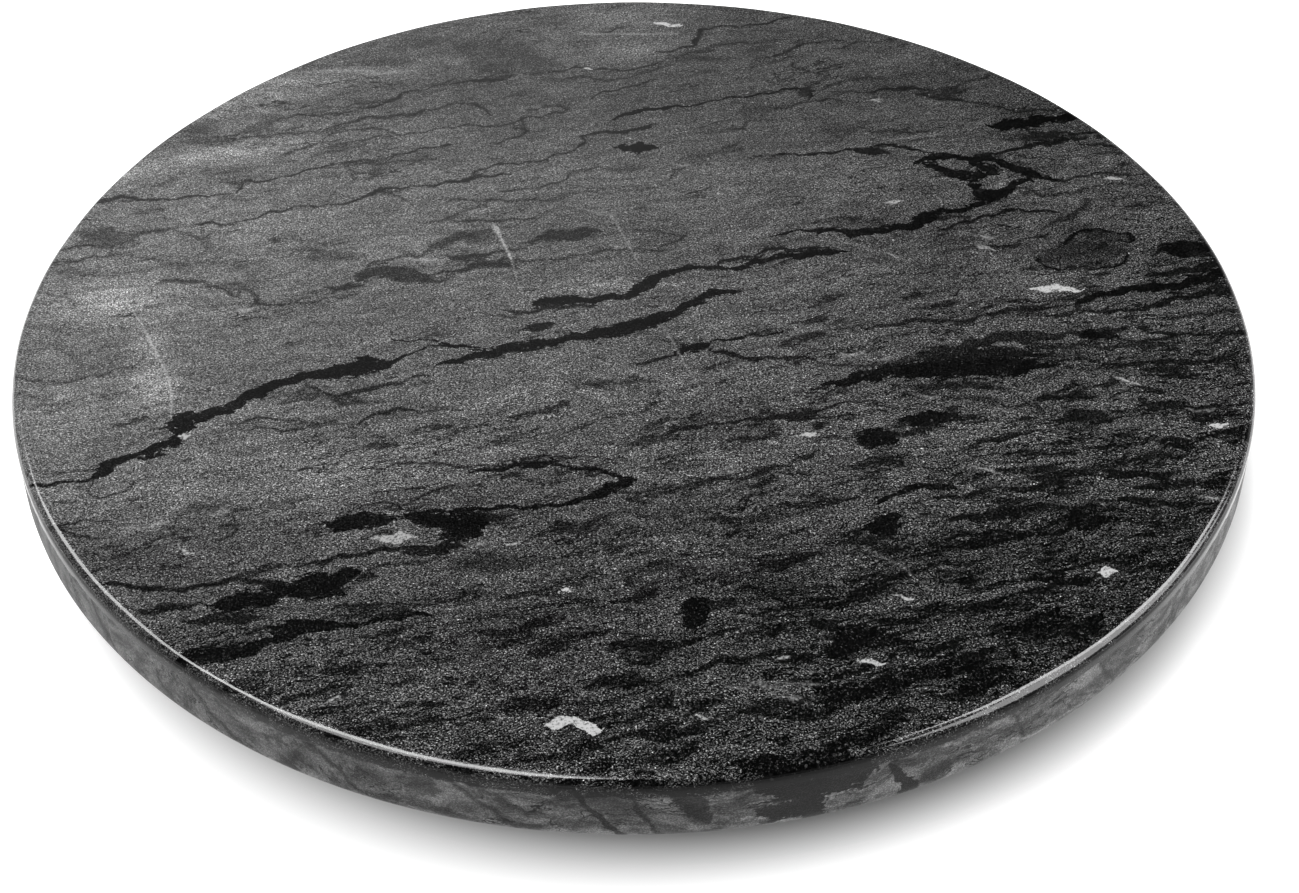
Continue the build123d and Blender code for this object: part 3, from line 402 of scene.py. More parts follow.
WHITE = [lens(*spot) for spot in [
    (1, -14, -136, 7, 1.5, 6), (1, -9, -136, 4.5, 1.7, -10), (1, 107, 11, 11, 1.3, 6),
    (1, 10.5, 138.5, 7, 1.1, 0), (.8, -53, -79.5, 8, 1.5, 12), (1, 105, -91.5, 3, 1.1, 0),
    (1, 138, -41.5, 3, 1.1, 0), (.9, 40.5, -44, 3.4, 1, 20), (.95, 51.5, -118, 3.6, 1, 0),
    (1, -14.5, -97, 3, .7, 8), (.7, 91, 28, 4, 1, 0), (.6, 91, 33, 4, .8, 0), (.8, 67.5, 48.5, 4, .8, -12),
    (.8, 129, 58.5, 6, .8, 10), (.9, 60, -98.5, 2.8, .7, -10), (.9, -13.5, 114, 2, .6, 0),
    (.7, 66.5, 25, 4, .6, -10), (.6, 63, 19.5, 3, .4, 0), (.8, -28, -80.5, 3, .6, 8),
    (.8, -99, -83.5, 2.6, .6, 0), (.6, -110, -75, 9, .8, 4), (.6, -97, 5, 3, 1, 0), (.6, -52, 63.5, 3.4, .6, 0),
    (.6, 13, 66, 3.4, .5, 0), (.7, 68, 98, 3.4, .8, 10), (.6, -113, 47, 6, .6, -30), (.6, -54, 24, 10, .8, -6),
    (.7, -68, -39, 2.6, .5, 0), (.9, -105, -44, 1.8, .9, 0), (.8, 14, -134, 3.4, .6, 10),
    (.8, 32, -117, 3.4, .6, 30), (.8, -63, -129, 2.6, .6, 0), (.5, 27, -125, 12, .6, -4),
    (.8, 119, -25, 5, .7, -24), (.6, 134, -36, 8, .5, 10), (.7, 132, -68, 6, .7, 4), (.7, 81, -57, 7, .6, -16),
    (.5, 66, -73, 8, .4, 0), (.6, 44, -5, 6, .4, 0), (.6, 54, -14, 7, .9, 14), (.6, 91, -12, 3, .5, 0),
    (.5, 87, -36, 3, .5, 0), (.6, -42, -121, 3, .4, 0), (.6, 4, -149, 5, .5, 0), (.5, -103, -78, 9, .4, 10),
    (.5, -118, -78, 6, .4, 4), (.6, -35, -82, 5, .5, 6), (.5, 22, -57, 3, 1, 60), (.55, -116, 96, 4, .5, -8),
    (.5, -78, 94.5, 3, .4, 0), (.5, -30, 19.5, 3, .4, 0), (.55, -27, 29.5, 2, .4, 0), (.6, -5, 29.5, 2, .5, 0),
    (.6, 33, -129, 5, .5, -20), (.55, -94, -70, 4, 1.2, 30), (.5, 69, -30, 4, .8, 0), (.5, 62, -17, 4, 1.2, 50),
    (.35, 97, 57, 5, 1.2, 70), (.35, 94, 55, 5, .6, 10),
]]

STREAKS = [
    (.75, [(-37, 40, .3), (-36, 38, .8), (-34, 32, .35), (-32, 26, .5), (-31, 22, .2), (-30, 17, .15)]),
    (.6, [(-8, 46, .3), (-5, 41, .35), (-3, 35, .3), (-1, 29, .3), (1, 23, .2)]),
    (.35, [(-16, 48, .4), (-11, 45, .9), (-6, 44, .5)]),
    (.6, [(7, -3, .3), (9, -8, .25), (11, -14, .25), (13, -20, .3), (16, -27, .2)]),
    (.7, [(-129, 12, .2), (-126, 5, .25), (-121, -4, .3), (-119, -9, .6), (-117, -13, .45), (-113, -22, .35),
          (-111, -29, .45), (-110, -37, .2)]),
    (.5, [(-17, 133, .3), (-12, 133, .7), (-6, 133, .5), (0, 133, .8), (6, 133, .5), (12, 133, .5)]),
    (.4, [(-97, 113, .6), (-88, 114, 1.2), (-80, 114, 1.5), (-72, 113, 1.2), (-62, 114, .6)]),
    (.5, [(70, 78, .2), (76, 79, .3), (82, 80, .25)]), (.4, [(54, 65, .2), (64, 65, .3)]),
    (.4, [(86, 86, .2), (98, 86, .25)]), (.45, [(52, -84, .2), (59, -89, .3), (62, -93, .2), (65, -97, .25)]),
    (.5, [(33, -127, .4), (24, -124, .3), (38, -125, .4)]),
    # the pale vein down the right of the side
    (.6, [(86, -138, .4), (92, -137, .5), (99, -131, .4), (106, -126, .3)]),
    (.5, [(104, -124, .3), (112, -121, .4), (117, -116, .3)]), (.5, [(-106, -114, .3), (-112, -117, .4)]),
    (.5, [(-118, -101, .5), (-123, -106, .3)]),
]

# pale clouds: x, y, half length, half width, how much paler
PALE = [
    (-80, 112, 26, 5, .8), (-100, 103, 12, 5, .7), (-115, 71, 14, 5, .8), (-136, 64, 8, 6, .7),
    (-118, 96, 8, 6, .6), (-130, 8, 12, 8, .8), (-120, -8, 5, 8, .7), (-116, -24, 6, 8, .9),
    (-5, 141, 18, 7, .8), (2, 124, 14, 5, .6), (-100, 76, 14, 3, .5), (75, 118, 14, 5, .45),
    (98, 58, 4, 4, .35), (136, 43, 9, 8, .5), (-62, -76, 22, 10, .2), (5, 12, 12, 3, .3), (-8, 13, 8, 3, .4),
    (-74, -26, 4, 2, .5), (-95, -35, 12, 3, .35), (60, -20, 6, 3, .4), (-20, -30, 30, 12, .2),
    (-70, -58, 30, 8, .2), (-128, -68, 10, 8, .35), (10, 60, 24, 16, .12), (93, 58, 5, 5, .2),
    (-140, -48, 8, 14, .25), (80, -50, 26, 8, .25), (120, 66, 14, 6, .2), (25, -6, 14, 4, .25),
    (104, 16, 16, 3, .3),
]


THINNEST = 0.12        # least half width of a stroke
WIDEST = 3             # about the half width of the widest
REACH = 7.0            # past this a stroke is not felt


def smooth_line(points, steps=3):
    """A curve through a stroke's points, as short straight pieces."""
    p = np.array(points, float)
    p = np.vstack([2 * p[0] - p[1], p, 2 * p[-1] - p[-2]])
    out = []
    for i in range(1, len(p) - 2):
        a, b, c, d = p[i - 1:i + 3]
        for k in range(steps):
            t = k / steps
            out.append(0.5 * (2 * b + (c - a) * t + (2 * a - 5 * b + 4 * c - d) * t * t
                              + (3 * b - a - 3 * c + d) * t ** 3))
    out.append(p[-2])
    out = np.array(out)
    out[:, 2] = np.maximum(out[:, 2], THINNEST)
    return out


def strokes_near(where, strokes):
    """What each point has nearest: signed distance to the stroke's line, distance, half width, strength."""
    count = len(where)
    best = np.full(count, REACH)
    side, gap = np.full(count, REACH), np.full(count, REACH)
    half, strength = np.zeros(count), np.zeros(count)
    for value, points in strokes:
        line = smooth_line(points)
        lo, hi = line[:, :2].min(0) - REACH - WIDEST, line[:, :2].max(0) + REACH + WIDEST
        near = np.nonzero(((where > lo) & (where < hi)).all(1))[0]
        for a, b in zip(line[:-1], line[1:]):
            step = b[:2] - a[:2]
            long = max(float(step @ step), 1e-9)
            rel = where[near] - a[:2]
            t = np.clip(rel @ step / long, 0, 1)
            off = rel - t[:, None] * step
            d = np.hypot(off[:, 0], off[:, 1])
            w = a[2] + (b[2] - a[2]) * t
            nearer = d - w < best[near]
            at = near[nearer]
            turn = np.sign(step[0] * rel[nearer, 1] - step[1] * rel[nearer, 0])
            best[at] = (d - w)[nearer]
            gap[at] = d[nearer]
            side[at] = d[nearer] * np.where(turn == 0, 1, turn)
            half[at] = w[nearer]
            strength[at] = value
    return side, gap, half, strength


def waver(p):
    """Moves points a little, by a slow and a quick wave, so that no vein runs straight."""
    x, y = p[:, 0], p[:, 1]
    dx = (.5 * np.sin(.31 * y + .11 * x + 1) + .35 * np.sin(.83 * y - .47 * x + 2)
          + .2 * np.sin(1.7 * x + 1.1 * y))
    dy = (.5 * np.sin(.27 * x - .13 * y + 4) + .4 * np.sin(.71 * x + .36 * y)
          + .22 * np.sin(1.53 * x - .9 * y + 3))
    return p + np.stack([dx, dy], 1)


# ------------------------------------------------------------------ the stone plate

low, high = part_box("marble_plate")
RADIUS = (high.x - low.x) / 2 / MM
TOP, BOTTOM = high.z / MM, low.z / MM
ARRIS, HEEL = 2.5, 4.0          # radii of the top and the bottom edge
SPACING = 1.05                  # between the vertices of the flat top
AROUND = 880                    # vertices round the edge
ARRIS_STEPS, WALL_STEPS, HEEL_STEPS = 8, 9, 6
EDGE_MARGIN = 3.0               # the regular rings stop this far inside the arris
HOLE_COUNT, HOLE_SIDES = 4, 40  # the blind holes of the anchors
ANCHOR_CIRCLE, ANCHOR_START, HOLE_RADIUS, HOLE_DEPTH = 44.27, 15.0, 4.0, 10.5
UNDER_RINGS = ((145, 440), (138, 220))      # radius and vertices, from the heel inwards
UNDER_GRID, UNDER_REACH, HOLE_MARGIN = 8, 132, 7


def circle(radius, count, z):
    """A ring of evenly spaced vertices about the axis."""
    a = np.arange(count) * 2 * np.pi / count
    return np.stack([radius * np.cos(a), radius * np.sin(a), np.full(count, float(z))], 1)


def zip_rings(first, n1, second, n2):
    """Triangles between two rings of vertices about the same axis, seen from inside the first."""
    faces, i, j = [], 0, 0
    while i < n1 or j < n2:
        if j >= n2 or (i < n1 and (i + 1) * n2 <= (j + 1) * n1):
            faces.append((first + i % n1, second + j % n2, first + (i + 1) % n1))
            i += 1
        else:
            faces.append((first + i % n1, second + j % n2, second + (j + 1) % n2))
            j += 1
    return faces


def plate_rings():
    """Rings of vertices from the middle of the top, over the edge, and in under the plate."""
    rings = []
    steps = int((RADIUS - ARRIS - EDGE_MARGIN) / SPACING)
    for k in range(1, steps + 1):
        r = k * SPACING
        rings.append(circle(r, max(6, round(2 * math.pi * r / SPACING)), TOP))
    angle = np.arange(AROUND) * 2 * np.pi / AROUND
    # the arris is rounded by hand: its radius wanders by a few tenths of a millimetre
    arris = ARRIS + .16 * np.sin(5 * angle + 1) + .1 * np.sin(13 * angle + 2) + .07 * np.sin(31 * angle)
    arris -= arris.max() - ARRIS - .1

    def round_ring(radius, z):
        z = np.broadcast_to(z, (AROUND,))
        return np.stack([radius * np.cos(angle), radius * np.sin(angle), z], 1)

    start = steps * SPACING
    for t in (.35, .7, 1.0):
        rings.append(round_ring(start + (RADIUS - arris - start) * t, TOP))
    for k in range(1, ARRIS_STEPS + 1):
        a = math.pi / 2 * k / ARRIS_STEPS
        rings.append(round_ring(RADIUS - arris + arris * math.sin(a), TOP - arris + arris * math.cos(a)))
    for t in np.linspace(0, 1, WALL_STEPS + 1)[1:]:
        rings.append(round_ring(np.full(AROUND, RADIUS), TOP - arris + (BOTTOM + HEEL - TOP + arris) * t))
    for k in range(1, HEEL_STEPS + 1):
        a = math.pi / 2 * k / HEEL_STEPS
        rings.append(round_ring(np.full(AROUND, RADIUS - HEEL + HEEL * math.cos(a)),
                                BOTTOM + HEEL - HEEL * math.sin(a)))
    return rings + [circle(radius, count, BOTTOM) for radius, count in UNDER_RINGS]


def plate_mesh():
    """The plate's vertices and faces: its rings zipped together, and the underside with its blind holes."""
    rings = plate_rings()
    verts = [np.array([[0, 0, TOP]])] + rings
    faces = []
    starts = np.cumsum([0] + [len(v) for v in verts])
    inner = len(rings[0])
    for k in range(inner):
        faces.append((0, 1 + k, 1 + (k + 1) % inner))
    for k in range(1, len(rings)):
        faces += zip_rings(int(starts[k]), len(rings[k - 1]), int(starts[k + 1]), len(rings[k]))
    # the underside, with its blind holes
    edge_start, edge = int(starts[-2]), len(rings[-1])
    holes = []
    for k in range(HOLE_COUNT):
        a = math.radians(ANCHOR_START + 360 / HOLE_COUNT * k)
        middle = [ANCHOR_CIRCLE * math.cos(a), ANCHOR_CIRCLE * math.sin(a), 0]
        holes.append(circle(HOLE_RADIUS, HOLE_SIDES, BOTTOM) + middle)
    centres = [h[:, :2].mean(0) for h in holes]
    most = math.ceil(UNDER_REACH / UNDER_GRID) * UNDER_GRID
    line = range(-most, most + 1, UNDER_GRID)
    grid = [(x, y, BOTTOM) for x in line for y in line if math.hypot(x, y) < UNDER_REACH
            and all(math.hypot(x - c[0], y - c[1]) > HOLE_MARGIN for c in centres)]
    everything = np.vstack([rings[-1]] + holes + [np.array(grid, float)])
    loops = [[k for k in range(edge)]]
    at = edge
    for h in holes:
        loops.append([at + k for k in range(len(h))])
        at += len(h)
    edges = [(loop[k], loop[(k + 1) % len(loop)]) for loop in loops for k in range(len(loop))]
    flat = [Vector(p[:2]) for p in everything]
    points, _, triangles, origin, _, _ = delaunay_2d_cdt(flat, edges, [], 0, 1e-7)
    total = int(starts[-1])
    new_index = {}
    for k, source in enumerate(origin):
        new_index[k] = edge_start + source[0] if source and source[0] < edge else None
    extra = []
    for k in range(len(points)):
        if new_index[k] is None:
            new_index[k] = total + len(extra)
            extra.append((points[k].x, points[k].y, BOTTOM))
    hole_of = {}
    for k, source in enumerate(origin):
        if source and edge <= source[0] < edge + HOLE_COUNT * HOLE_SIDES:
            hole_of[source[0] - edge] = new_index[k]
    for t in triangles:
        middle = sum((points[k] for k in t), Vector((0, 0))) / 3
        if any(math.hypot(middle.x - c[0], middle.y - c[1]) < HOLE_RADIUS * .99 for c in centres):
            continue
        faces.append((new_index[t[0]], new_index[t[2]], new_index[t[1]]))
    total += len(extra)
    ends = []
    for k, h in enumerate(holes):
        base = total + len(ends)
        ends += [(p[0], p[1], BOTTOM + HOLE_DEPTH) for p in h]
        for i in range(HOLE_SIDES):
            j = (i + 1) % HOLE_SIDES
            faces.append((hole_of[HOLE_SIDES * k + i], hole_of[HOLE_SIDES * k + j], base + j, base + i))
        faces.append(tuple(base + i for i in range(HOLE_SIDES))[::-1])
    verts = np.vstack(verts + [np.array(extra), np.array(ends)])
    return verts, faces


def as_floats(mesh, name, values):
    mesh.attributes.new(name, "FLOAT", "POINT").data.foreach_set("value", values.astype(np.float32))


verts, faces = plate_mesh()
mesh = bpy.data.meshes.new("stone_plate")
mesh.from_pydata((verts * MM).tolist(), [], faces)
mesh.update()
plate = bpy.data.objects.new("stone_plate", mesh)
bpy.context.scene.collection.objects.link(plate)
mesh.shade_smooth()

across = np.hypot(verts[:, 0], verts[:, 1])
depth = TOP - verts[:, 2]
# where a vertex is in the figure: its own place on top, and unrolled outwards down the side
out = verts[:, :2] / np.maximum(across, 1e-6)[:, None]
flat_radius = RADIUS - ARRIS
over_edge = flat_radius + np.maximum(across - flat_radius, 0) * .4 + depth * .95
beyond = np.where(across > flat_radius - .5, over_edge, across)
figure = out * beyond[:, None]
figure[across < 1e-6] = 0
wavy = waver(figure)
wavier = figure + (wavy - figure) * 1.5
for name, strokes, where in (("dark", DARK, wavy), ("white", WHITE, wavier), ("streak", STREAKS, figure)):
    for part, values in zip(("side", "gap", "half", "strength"), strokes_near(where, strokes)):
        as_floats(mesh, f"{name}_{part}", values)
x, y = figure[:, 0], figure[:, 1]


def ease(value, start, end):
    t = np.clip((value - start) / (end - start), 0, 1)
    return t * t * (3 - 2 * t)


pale = np.zeros(len(verts))
tilt = math.radians(10)
for px, py, long, wide, much in PALE:
    u = ((x - px) * math.cos(tilt) + (y - py) * math.sin(tilt)) / long
    v = ((y - py) * math.cos(tilt) - (x - px) * math.sin(tilt)) / wide
    pale += much * np.exp(-(u * u + v * v))
# the ground is palest at the left and darkens to the front and the back: partly the stone's own tone, partly
# painted light, the brighter left and darker front and back standing in for how the lamps and their reflection
# fall on the top
tone_and_painted_light = .042 * np.exp(-.0036 * x + .0008 * y) * (1 - .42 * ease(-y, 45, 95)) * (1 - .3 * ease(y, 50, 110))
# the torn films crowd together at the front right
busy = np.clip(.25 + .0032 * x - .0048 * y, 0, 1)
as_floats(mesh, "pale", pale)
as_floats(mesh, "tone_and_painted_light", tone_and_painted_light)
as_floats(mesh, "busy", busy)

stone, g, shader = material("marble")
mm = g.millimetres()
# the bedding: its beds run 13 degrees off x and dip 32 degrees into the plate
run, dip = math.radians(13), math.radians(32)
along_bed = (math.cos(run), math.sin(run), 0)
over_bed = (-math.sin(run) * math.cos(dip), math.cos(run) * math.cos(dip), math.sin(dip))
through_bed = (math.sin(run) * math.sin(dip), -math.cos(run) * math.sin(dip), math.cos(dip))
along, over, through = (g.vector("DOT_PRODUCT", mm, way) for way in (along_bed, over_bed, through_bed))
folded = g.node("ShaderNodeCombineXYZ", {0: along, 1: over, 2: through}).outputs[0]
slow = g.vector("SUBTRACT", g.noise(mm, .035, 2, .5, colour=True), (.5, .5, .5))
quick = g.vector("SUBTRACT", g.noise(mm, .32, 2, .6, colour=True), (.5, .5, .5))
folded = g.vector("ADD", folded, g.scaled(slow, 14, 14, 14))
folded = g.vector("ADD", folded, g.scaled(quick, 2.2, 2.2, 2.2))

ragged = g.sub(g.noise(mm, .9, 3, .65), .5)
ragged_fine = g.sub(g.noise(mm, 2.3, 2, .6), .5)
torn = g.sub(g.noise(g.scaled(folded, .17, .85, .85), 1, 3, .65), .5)


def figure_mask(kind, wobble, soft, tear):
    """How far a point is inside the strokes of one kind, 0 outside and 1 inside, with ragged edges."""
    side = g.math("ABSOLUTE", g.add(g.attribute(f"{kind}_side"), g.mul(ragged, wobble)))
    distance = g.math("MAXIMUM", side, g.sub(g.attribute(f"{kind}_gap"), .65))
    half = g.attribute(f"{kind}_half")
    inside = g.sub(half, distance)
    inside = g.add(inside, g.mul(ragged, .8))
    inside = g.add(inside, g.mul(ragged_fine, .8))
    inside = g.add(inside, g.mul(torn, g.add(g.mul(half, tear), .2)))
    strength = g.attribute(f"{kind}_strength")
    edge = g.add(g.mul(g.sub(1.0, strength), soft), .16)
    return g.mul(g.ramp(g.math("DIVIDE", inside, edge), -1.0, 1.0), strength)


busy_here = g.attribute("busy")
veins = figure_mask("dark", .5, 3.2, 2.1)
spots = figure_mask("white", .2, 1.6, 1.2)
streaks = figure_mask("streak", .1, 1.2, .5)
whites = g.top(g.mul(spots, .92), streaks)

# foliation: thin black wisps and torn dark films along the bedding
bed_long = g.noise(g.scaled(folded, .018, .15, .15), 1, 4, .62)
gate_long = g.noise(g.scaled(folded, .022, .06, .06), 1, 2, .5)
wisp_long = g.mul(g.ramp(g.math("ABSOLUTE", g.sub(bed_long, .5)), .0155, .004),
                  g.ramp(g.add(gate_long, g.mul(busy_here, .12)), .52, .62))
bed_short = g.noise(g.scaled(folded, .06, .5, .5), 1, 3, .6)
gate_short = g.noise(g.scaled(folded, .05, .14, .14), 1, 2, .5)
wisp_short = g.mul(g.ramp(g.math("ABSOLUTE", g.sub(bed_short, .5)), .022, .006),
                   g.ramp(g.add(gate_short, g.mul(busy_here, .2)), .56, .68))
film = g.noise(g.scaled(folded, .055, .24, .24), 1, 6, .68)
films = g.ramp(g.add(film, g.mul(busy_here, .13)), .6, .69)
full = g.add(g.mul(busy_here, .25), .75)
dark = g.top(veins, g.mul(wisp_long, g.add(full, .05)), g.mul(wisp_short, full), g.mul(films, full))

# ground mass: salt and pepper grain, streaky mottling, crumbs of white spar
grain = g.sub(g.noise(g.scaled(mm, 1, 1.2, 1.2), 2.3, 2, .85), .5)
grain = g.math("POWER", 2.0, g.mul(grain, g.add(g.mul(busy_here, 8.0), 12.0)))
grain = g.math("MAXIMUM", g.sub(g.mul(grain, 1.15), g.add(g.mul(busy_here, .3), .1)), .03)
mottle = g.line(g.noise(g.scaled(folded, .09, .4, .4), 1, 4, .65), .3, .7, .62, 1.36)
broad = g.line(g.noise(g.scaled(folded, .018, .05, .05), 1, 3, .5), .3, .7, .78, 1.22)
cells = g.node("ShaderNodeTexVoronoi", {"Vector": g.vector("ADD", mm, quick), "Scale": .85})
lottery = g.node("ShaderNodeSeparateXYZ", {0: cells.outputs["Color"]}).outputs[0]
crumbs = g.mul(g.ramp(cells.outputs["Distance"], .34, .2), g.ramp(lottery, .86, .95))
crumbs = g.mul(crumbs, g.ramp(g.noise(g.scaled(folded, .05, .12, .12), 1, 2, .5), .4, .62))
spar_dust = g.ramp(g.noise(mm, 2.6, 0, .5), .7, .8)
spar_dust = g.mul(spar_dust, g.ramp(g.noise(g.scaled(folded, .08, .25, .25), 1, 2, .5), .42, .62))

# the tone attribute carries painted light as well as the stone's own tone
ground = g.mul(g.mul(g.attribute("tone_and_painted_light"), grain), g.mul(mottle, broad))
ground = g.mul(ground, g.add(g.attribute("pale"), 1.0))
ground = g.mul(ground, g.sub(1.0, g.mul(dark, .95)))
ground = g.add(ground, g.mul(g.add(g.mul(crumbs, .11), g.mul(spar_dust, .06)), g.sub(1.0, g.mul(dark, .7))))

# the polish ends about 4 mm down the edge, along an uneven line, and the side below is honed
height = g.node("ShaderNodeSeparateXYZ", {0: mm}).outputs[2]
down = g.sub(TOP, height)
rolled = g.ramp(down, .7, 1.5)
honed = g.ramp(g.add(down, g.add(g.mul(g.noise(mm, .22, 3, .6), -2.6), 1.3)), 3.6, 4.4)
side_cloud = g.noise(g.scaled(folded, .07, .2, .2), 1, 4, .6)
side_tone = g.mul(g.line(side_cloud, .34, .66, .028, .135), g.line(grain, 0, 3, .7, 1.6))
side_dark = g.top(veins, wisp_long, g.mul(films, .6))
side_tone = g.mul(side_tone, g.sub(1.0, g.mul(side_dark, .92)))
# painted shade: over the rolled edge the top's colour drops to 45 percent, standing in for a dark reflection
# along the polished edge
edge_tone_painted_dark = g.mul(ground, g.sub(1.0, g.mul(rolled, .55)))
brightness = g.add(g.mul(edge_tone_painted_dark, g.sub(1.0, honed)), g.mul(side_tone, honed))

# the white spar, broken up by the grain
spar = g.math("POWER", whites, 1.6)
spar = g.mul(spar, g.ramp(g.add(g.noise(mm, 1.5, 2, .7), g.mul(whites, .2)), .48, .72, .12, 1.0))
brightness = g.add(g.mul(brightness, g.sub(1.0, spar)), g.mul(spar, .36))
g.put(shader.inputs["Base Color"], g.grey(brightness))
polish = g.add(.05, g.mul(ragged_fine, .02))
g.put(shader.inputs["Roughness"], g.add(g.mul(polish, g.sub(1.0, honed)), g.mul(honed, .52)))
shader.inputs["IOR"].default_value = 1.5
g.put(shader.inputs["Specular IOR Level"], g.line(rolled, 0, 1, .5, .1))
relief = g.add(g.mul(grain, .5), g.noise(mm, .5, 3, .6))
g.put(shader.inputs["Normal"], g.bump(g.mul(relief, g.add(g.mul(honed, .9), .06)), .35, .00006))
mesh.materials.append(stone)
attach(plate, "turntable")
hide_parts("marble_plate")


# ------------------------------------------------------------------ finishes of the carried-over CAD nodes

def turned_metal(name, colour, rough, marks, tarnish=.06):
    """Metal cut on a lathe about the plate's axis: fine rings of tool marks, and a little tarnish."""
    made, g, shader = material(name)
    mm = g.millimetres()
    flat = g.scaled(mm, 1, 1, 0)
    radius = g.vector("LENGTH", flat)
    height = g.node("ShaderNodeSeparateXYZ", {0: mm}).outputs[2]
    lathe = g.node("ShaderNodeCombineXYZ", {0: radius, 1: height}).outputs[0]
    tool = g.noise(lathe, 5.0, 3, .7)
    cloud = g.noise(mm, .12, 4, .6)
    shade = g.line(cloud, .3, .7, 1 - tarnish, 1.0)
    g.put(shader.inputs["Base Color"], g.grey(shade, colour))
    worn = g.ramp(cloud, .3, .7, rough + .07, rough - .04)
    g.put(shader.inputs["Roughness"], g.add(worn, g.mul(tool, marks * .2)))
    g.put(shader.inputs["Normal"], g.bump(tool, marks, .00004))
    shader.inputs["Metallic"].default_value = 1.0
    return made


def plated_metal(name, colour, rough, spots=.1):
    """Small metal parts: plating with a soft cloud, and rubbed spots."""
    made, g, shader = material(name)
    mm = g.millimetres()
    cloud = g.noise(mm, .9, 4, .6)
    rub = g.noise(mm, 4.0, 2, .6)
    shade = g.line(cloud, .25, .75, 1 - spots, 1.0)
    g.put(shader.inputs["Base Color"], g.grey(shade, colour))
    g.put(shader.inputs["Roughness"], g.line(rub, .3, .7, rough - .04, rough + .06))
    g.put(shader.inputs["Normal"], g.bump(rub, .15, .00003))
    shader.inputs["Metallic"].default_value = 1.0
    return made


def moulded(name, colour, rough, scale, relief, variation=.12, soft=0.0):
    """Moulded plastic or rubber: an even colour with a fine texture from the mould."""
    made, g, shader = material(name)
    mm = g.millimetres()
    texture = g.noise(mm, scale, 3, .65)
    cloud = g.noise(mm, .05, 3, .5)
    shade = g.mul(g.line(cloud, .3, .7, 1 - variation, 1 + variation),
                  g.line(texture, .3, .7, .9, 1.1))
    g.put(shader.inputs["Base Color"], g.grey(shade, colour))
    g.put(shader.inputs["Roughness"], g.line(texture, .3, .7, rough - .06, rough + .06))
    g.put(shader.inputs["Normal"], g.bump(texture, relief, .00012))
    shader.inputs["Subsurface Weight"].default_value = soft
    shader.inputs["Subsurface Radius"].default_value = (.0012, .001, .0008)
    return made


finishes = {
    "bearing_ring": turned_metal("bearing_ring", (.78, .79, .81), .27, .5),
    "screw_steel": plated_metal("screw_steel", (.66, .67, .69), .3),
    "pin_steel": plated_metal("pin_steel", (.42, .42, .43), .32),
    "ball_steel": plated_metal("ball_steel", (.72, .73, .75), .08, .04),
    "brass": plated_metal("brass", (.78, .57, .27), .28, .18),
    "nylon": moulded("nylon", (.72, .7, .63), .42, 3.0, .12, .05, .25),
    "base_plastic": moulded("base_plastic", (.016, .016, .017), .46, 2.6, .5),
    "plug_rubber": moulded("plug_rubber", (.022, .022, .023), .62, 3.5, .35),
    "foot_rubber": moulded("foot_rubber", (.02, .02, .021), .72, 4.5, .5, .2),
    "pad": moulded("pad", (.12, .12, .125), .85, 2.2, .9, .18),
}
wears = {
    "plate_anchors": "brass", "base_inserts": "brass", "damping_pad": "pad",
    "turning_ring": "bearing_ring", "fixed_ring": "bearing_ring", "loading_plug": "bearing_ring",
    "turning_ring_screws": "screw_steel", "fixed_ring_screws": "screw_steel", "foot_screws": "screw_steel",
    "foot_washers": "screw_steel", "plug_pin": "pin_steel", "bearing_balls": "ball_steel",
    "ball_cage": "nylon", "base_shell": "base_plastic", "access_plug": "plug_rubber",
}
wears.update({f"foot_{k}": "foot_rubber" for k in range(1, 7)})
for name, node in nodes.items():
    if name == "marble_plate":
        continue
    finish = finishes[wears[name]]
    if not node.data.materials:
        node.data.materials.append(finish)
    for k in range(len(node.data.materials)):
        node.data.materials[k] = finish

# ------------------------------------------------------------------ floor, light and camera

floor_mesh = bpy.data.meshes.new("floor")
reach = 9.0
corners = [(-reach, -reach, 0), (reach, -reach, 0), (reach, reach, 0), (-reach, reach, 0)]
floor_mesh.from_pydata(corners, [], [(0, 1, 2, 3)])
floor = bpy.data.objects.new("floor", floor_mesh)
bpy.context.scene.collection.objects.link(floor)
pale_floor, g, shader = material("floor")
mm = g.millimetres()
speck = g.noise(mm, .02, 3, .5)
# painted light and painted shadow: the floor glows round the plate, and its glow and its colour fade to dark
# under it
shade_x, shade_y, shade_inner, shade_outer = 7.0, 15.0, 140, 168
from_middle = g.vector("ADD", g.scaled(mm, 1, 1, 0), (-shade_x, -shade_y, 0.0))
painted_shadow_glow = g.ramp(g.vector("LENGTH", from_middle), shade_inner, shade_outer)
g.put(shader.inputs["Emission Color"], g.grey(painted_shadow_glow))
# painted shadow: the floor's colour drops to 40 percent under the plate
g.put(shader.inputs["Base Color"],
      g.grey(g.mul(g.line(speck, .3, .7, .56, .58), g.line(painted_shadow_glow, 0, 1, .4, 1.0))))
shader.inputs["Emission Strength"].default_value = 1.0
shader.inputs["Roughness"].default_value = .9
shader.inputs["Specular IOR Level"].default_value = .0
floor_mesh.materials.append(pale_floor)

world = bpy.data.worlds.new("studio")
bpy.context.scene.world = world
world.use_nodes = True
g = Graph(world.node_tree)
direction = g.node("ShaderNodeTexCoord").outputs["Generated"]
parts = g.node("ShaderNodeSeparateXYZ", {0: direction})
turned = g.math("MULTIPLY", g.math("ARCTAN2", parts.outputs[0], parts.outputs[1]), 180 / math.pi)
raised = g.math("MULTIPLY", g.math("ARCSINE", parts.outputs[2]), 180 / math.pi)


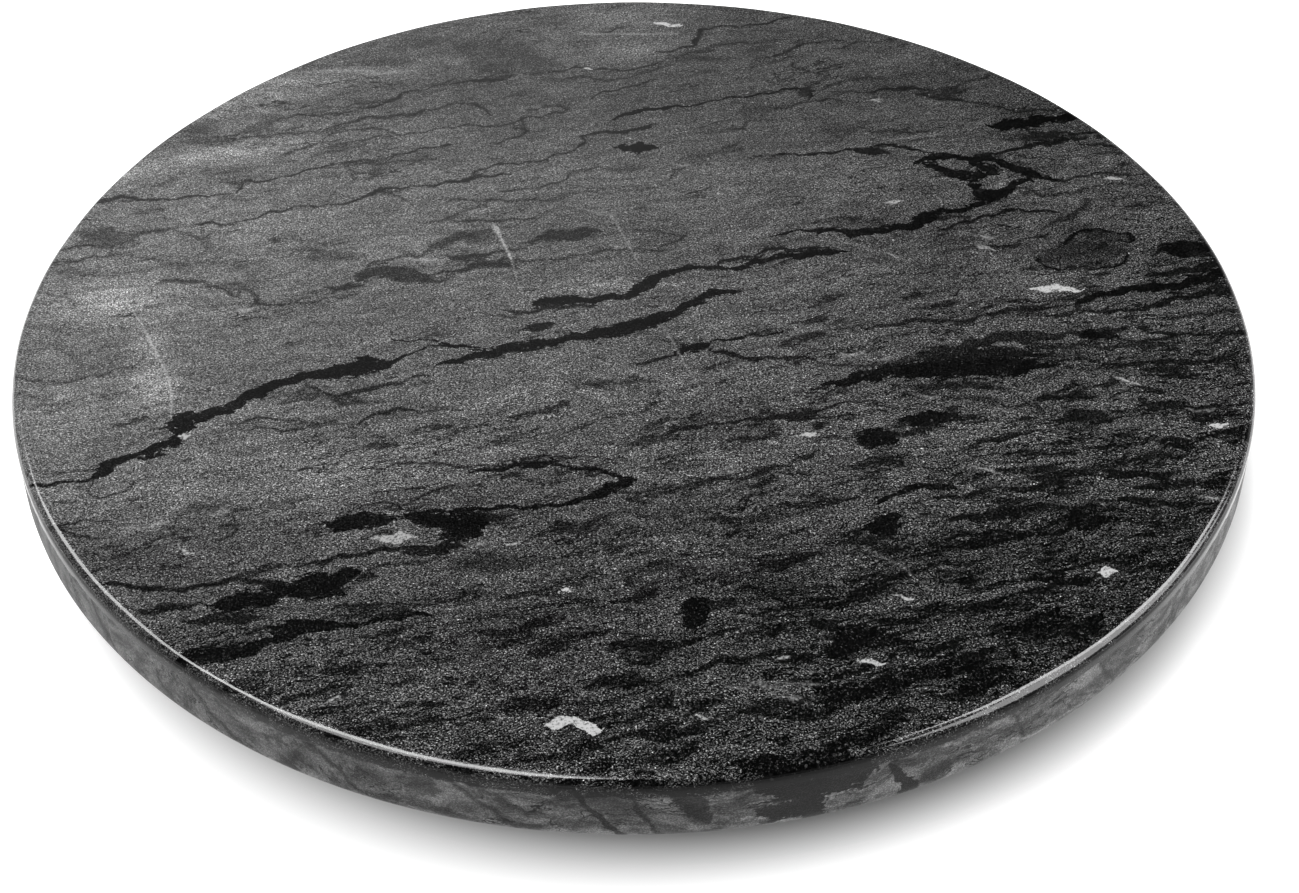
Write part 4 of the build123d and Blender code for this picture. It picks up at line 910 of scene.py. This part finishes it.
def window(turn_from, turn_to, up_from, up_to, soft_turn, soft_up, power):
    """A soft-edged panel of light, by compass turn from the back and by height, in degrees."""
    side = g.mul(g.ramp(turned, turn_from - soft_turn, turn_from + soft_turn),
                 g.ramp(turned, turn_to + soft_turn, turn_to - soft_turn))
    up = g.mul(g.ramp(raised, up_from - soft_up, up_from + soft_up),
               g.ramp(raised, up_to + soft_up, up_to - soft_up))
    return g.mul(g.mul(side, up), power)


# a pale room up to about 20 degrees and a dark one above, with six panels of light
light = g.ramp(raised, 14, 26, .42, .02)
for panel in ((-40, 2, 20, 38, 7, 5, .4), (-54, -5, 54, 79, 3, 1.2, 13.0), (-54, -27, 39, 54, 2, 2, 9.0),
              (-112, -54, 60, 82, 3, 2, 6.0), (26, 60, 42, 64, 2, 2, 12.0), (60, 122, 24, 60, 2, 2, 6.0)):
    light = g.add(light, window(*panel))
back = g.node("ShaderNodeBackground", {"Color": g.grey(light), "Strength": 1.0})
out = g.node("ShaderNodeOutputWorld")
g.put(out.inputs["Surface"], back.outputs[0])

camera_data = bpy.data.cameras.new("camera")
camera = bpy.data.objects.new("camera", camera_data)
bpy.context.scene.collection.objects.link(camera)
bpy.context.scene.camera = camera
SENSOR, LENS = 36.0, 67.59
CAMERA_BACK, CAMERA_RIGHT, CAMERA_UP = 607.3, 3.873, -32.04     # from the middle of the plate's top
camera_data.sensor_width, camera_data.lens = SENSOR, LENS
camera_data.clip_start, camera_data.clip_end = .02, 50
height_angle, roll = math.radians(41.21), math.radians(-.30)
backward = Vector((0, -math.cos(height_angle), math.sin(height_angle)))
level = Vector((1, 0, 0))
upward = Vector((0, math.sin(height_angle), math.cos(height_angle)))
right = math.cos(roll) * level + math.sin(roll) * upward
up = -math.sin(roll) * level + math.cos(roll) * upward
spot = (backward * CAMERA_BACK + right * CAMERA_RIGHT + up * CAMERA_UP) * MM + Vector((0, 0, TOP * MM))
camera.matrix_world = Matrix(((right.x, up.x, backward.x, spot.x), (right.y, up.y, backward.y, spot.y),
                              (right.z, up.z, backward.z, spot.z), (0, 0, 0, 1)))
bpy.context.scene.view_settings.view_transform = "Standard"
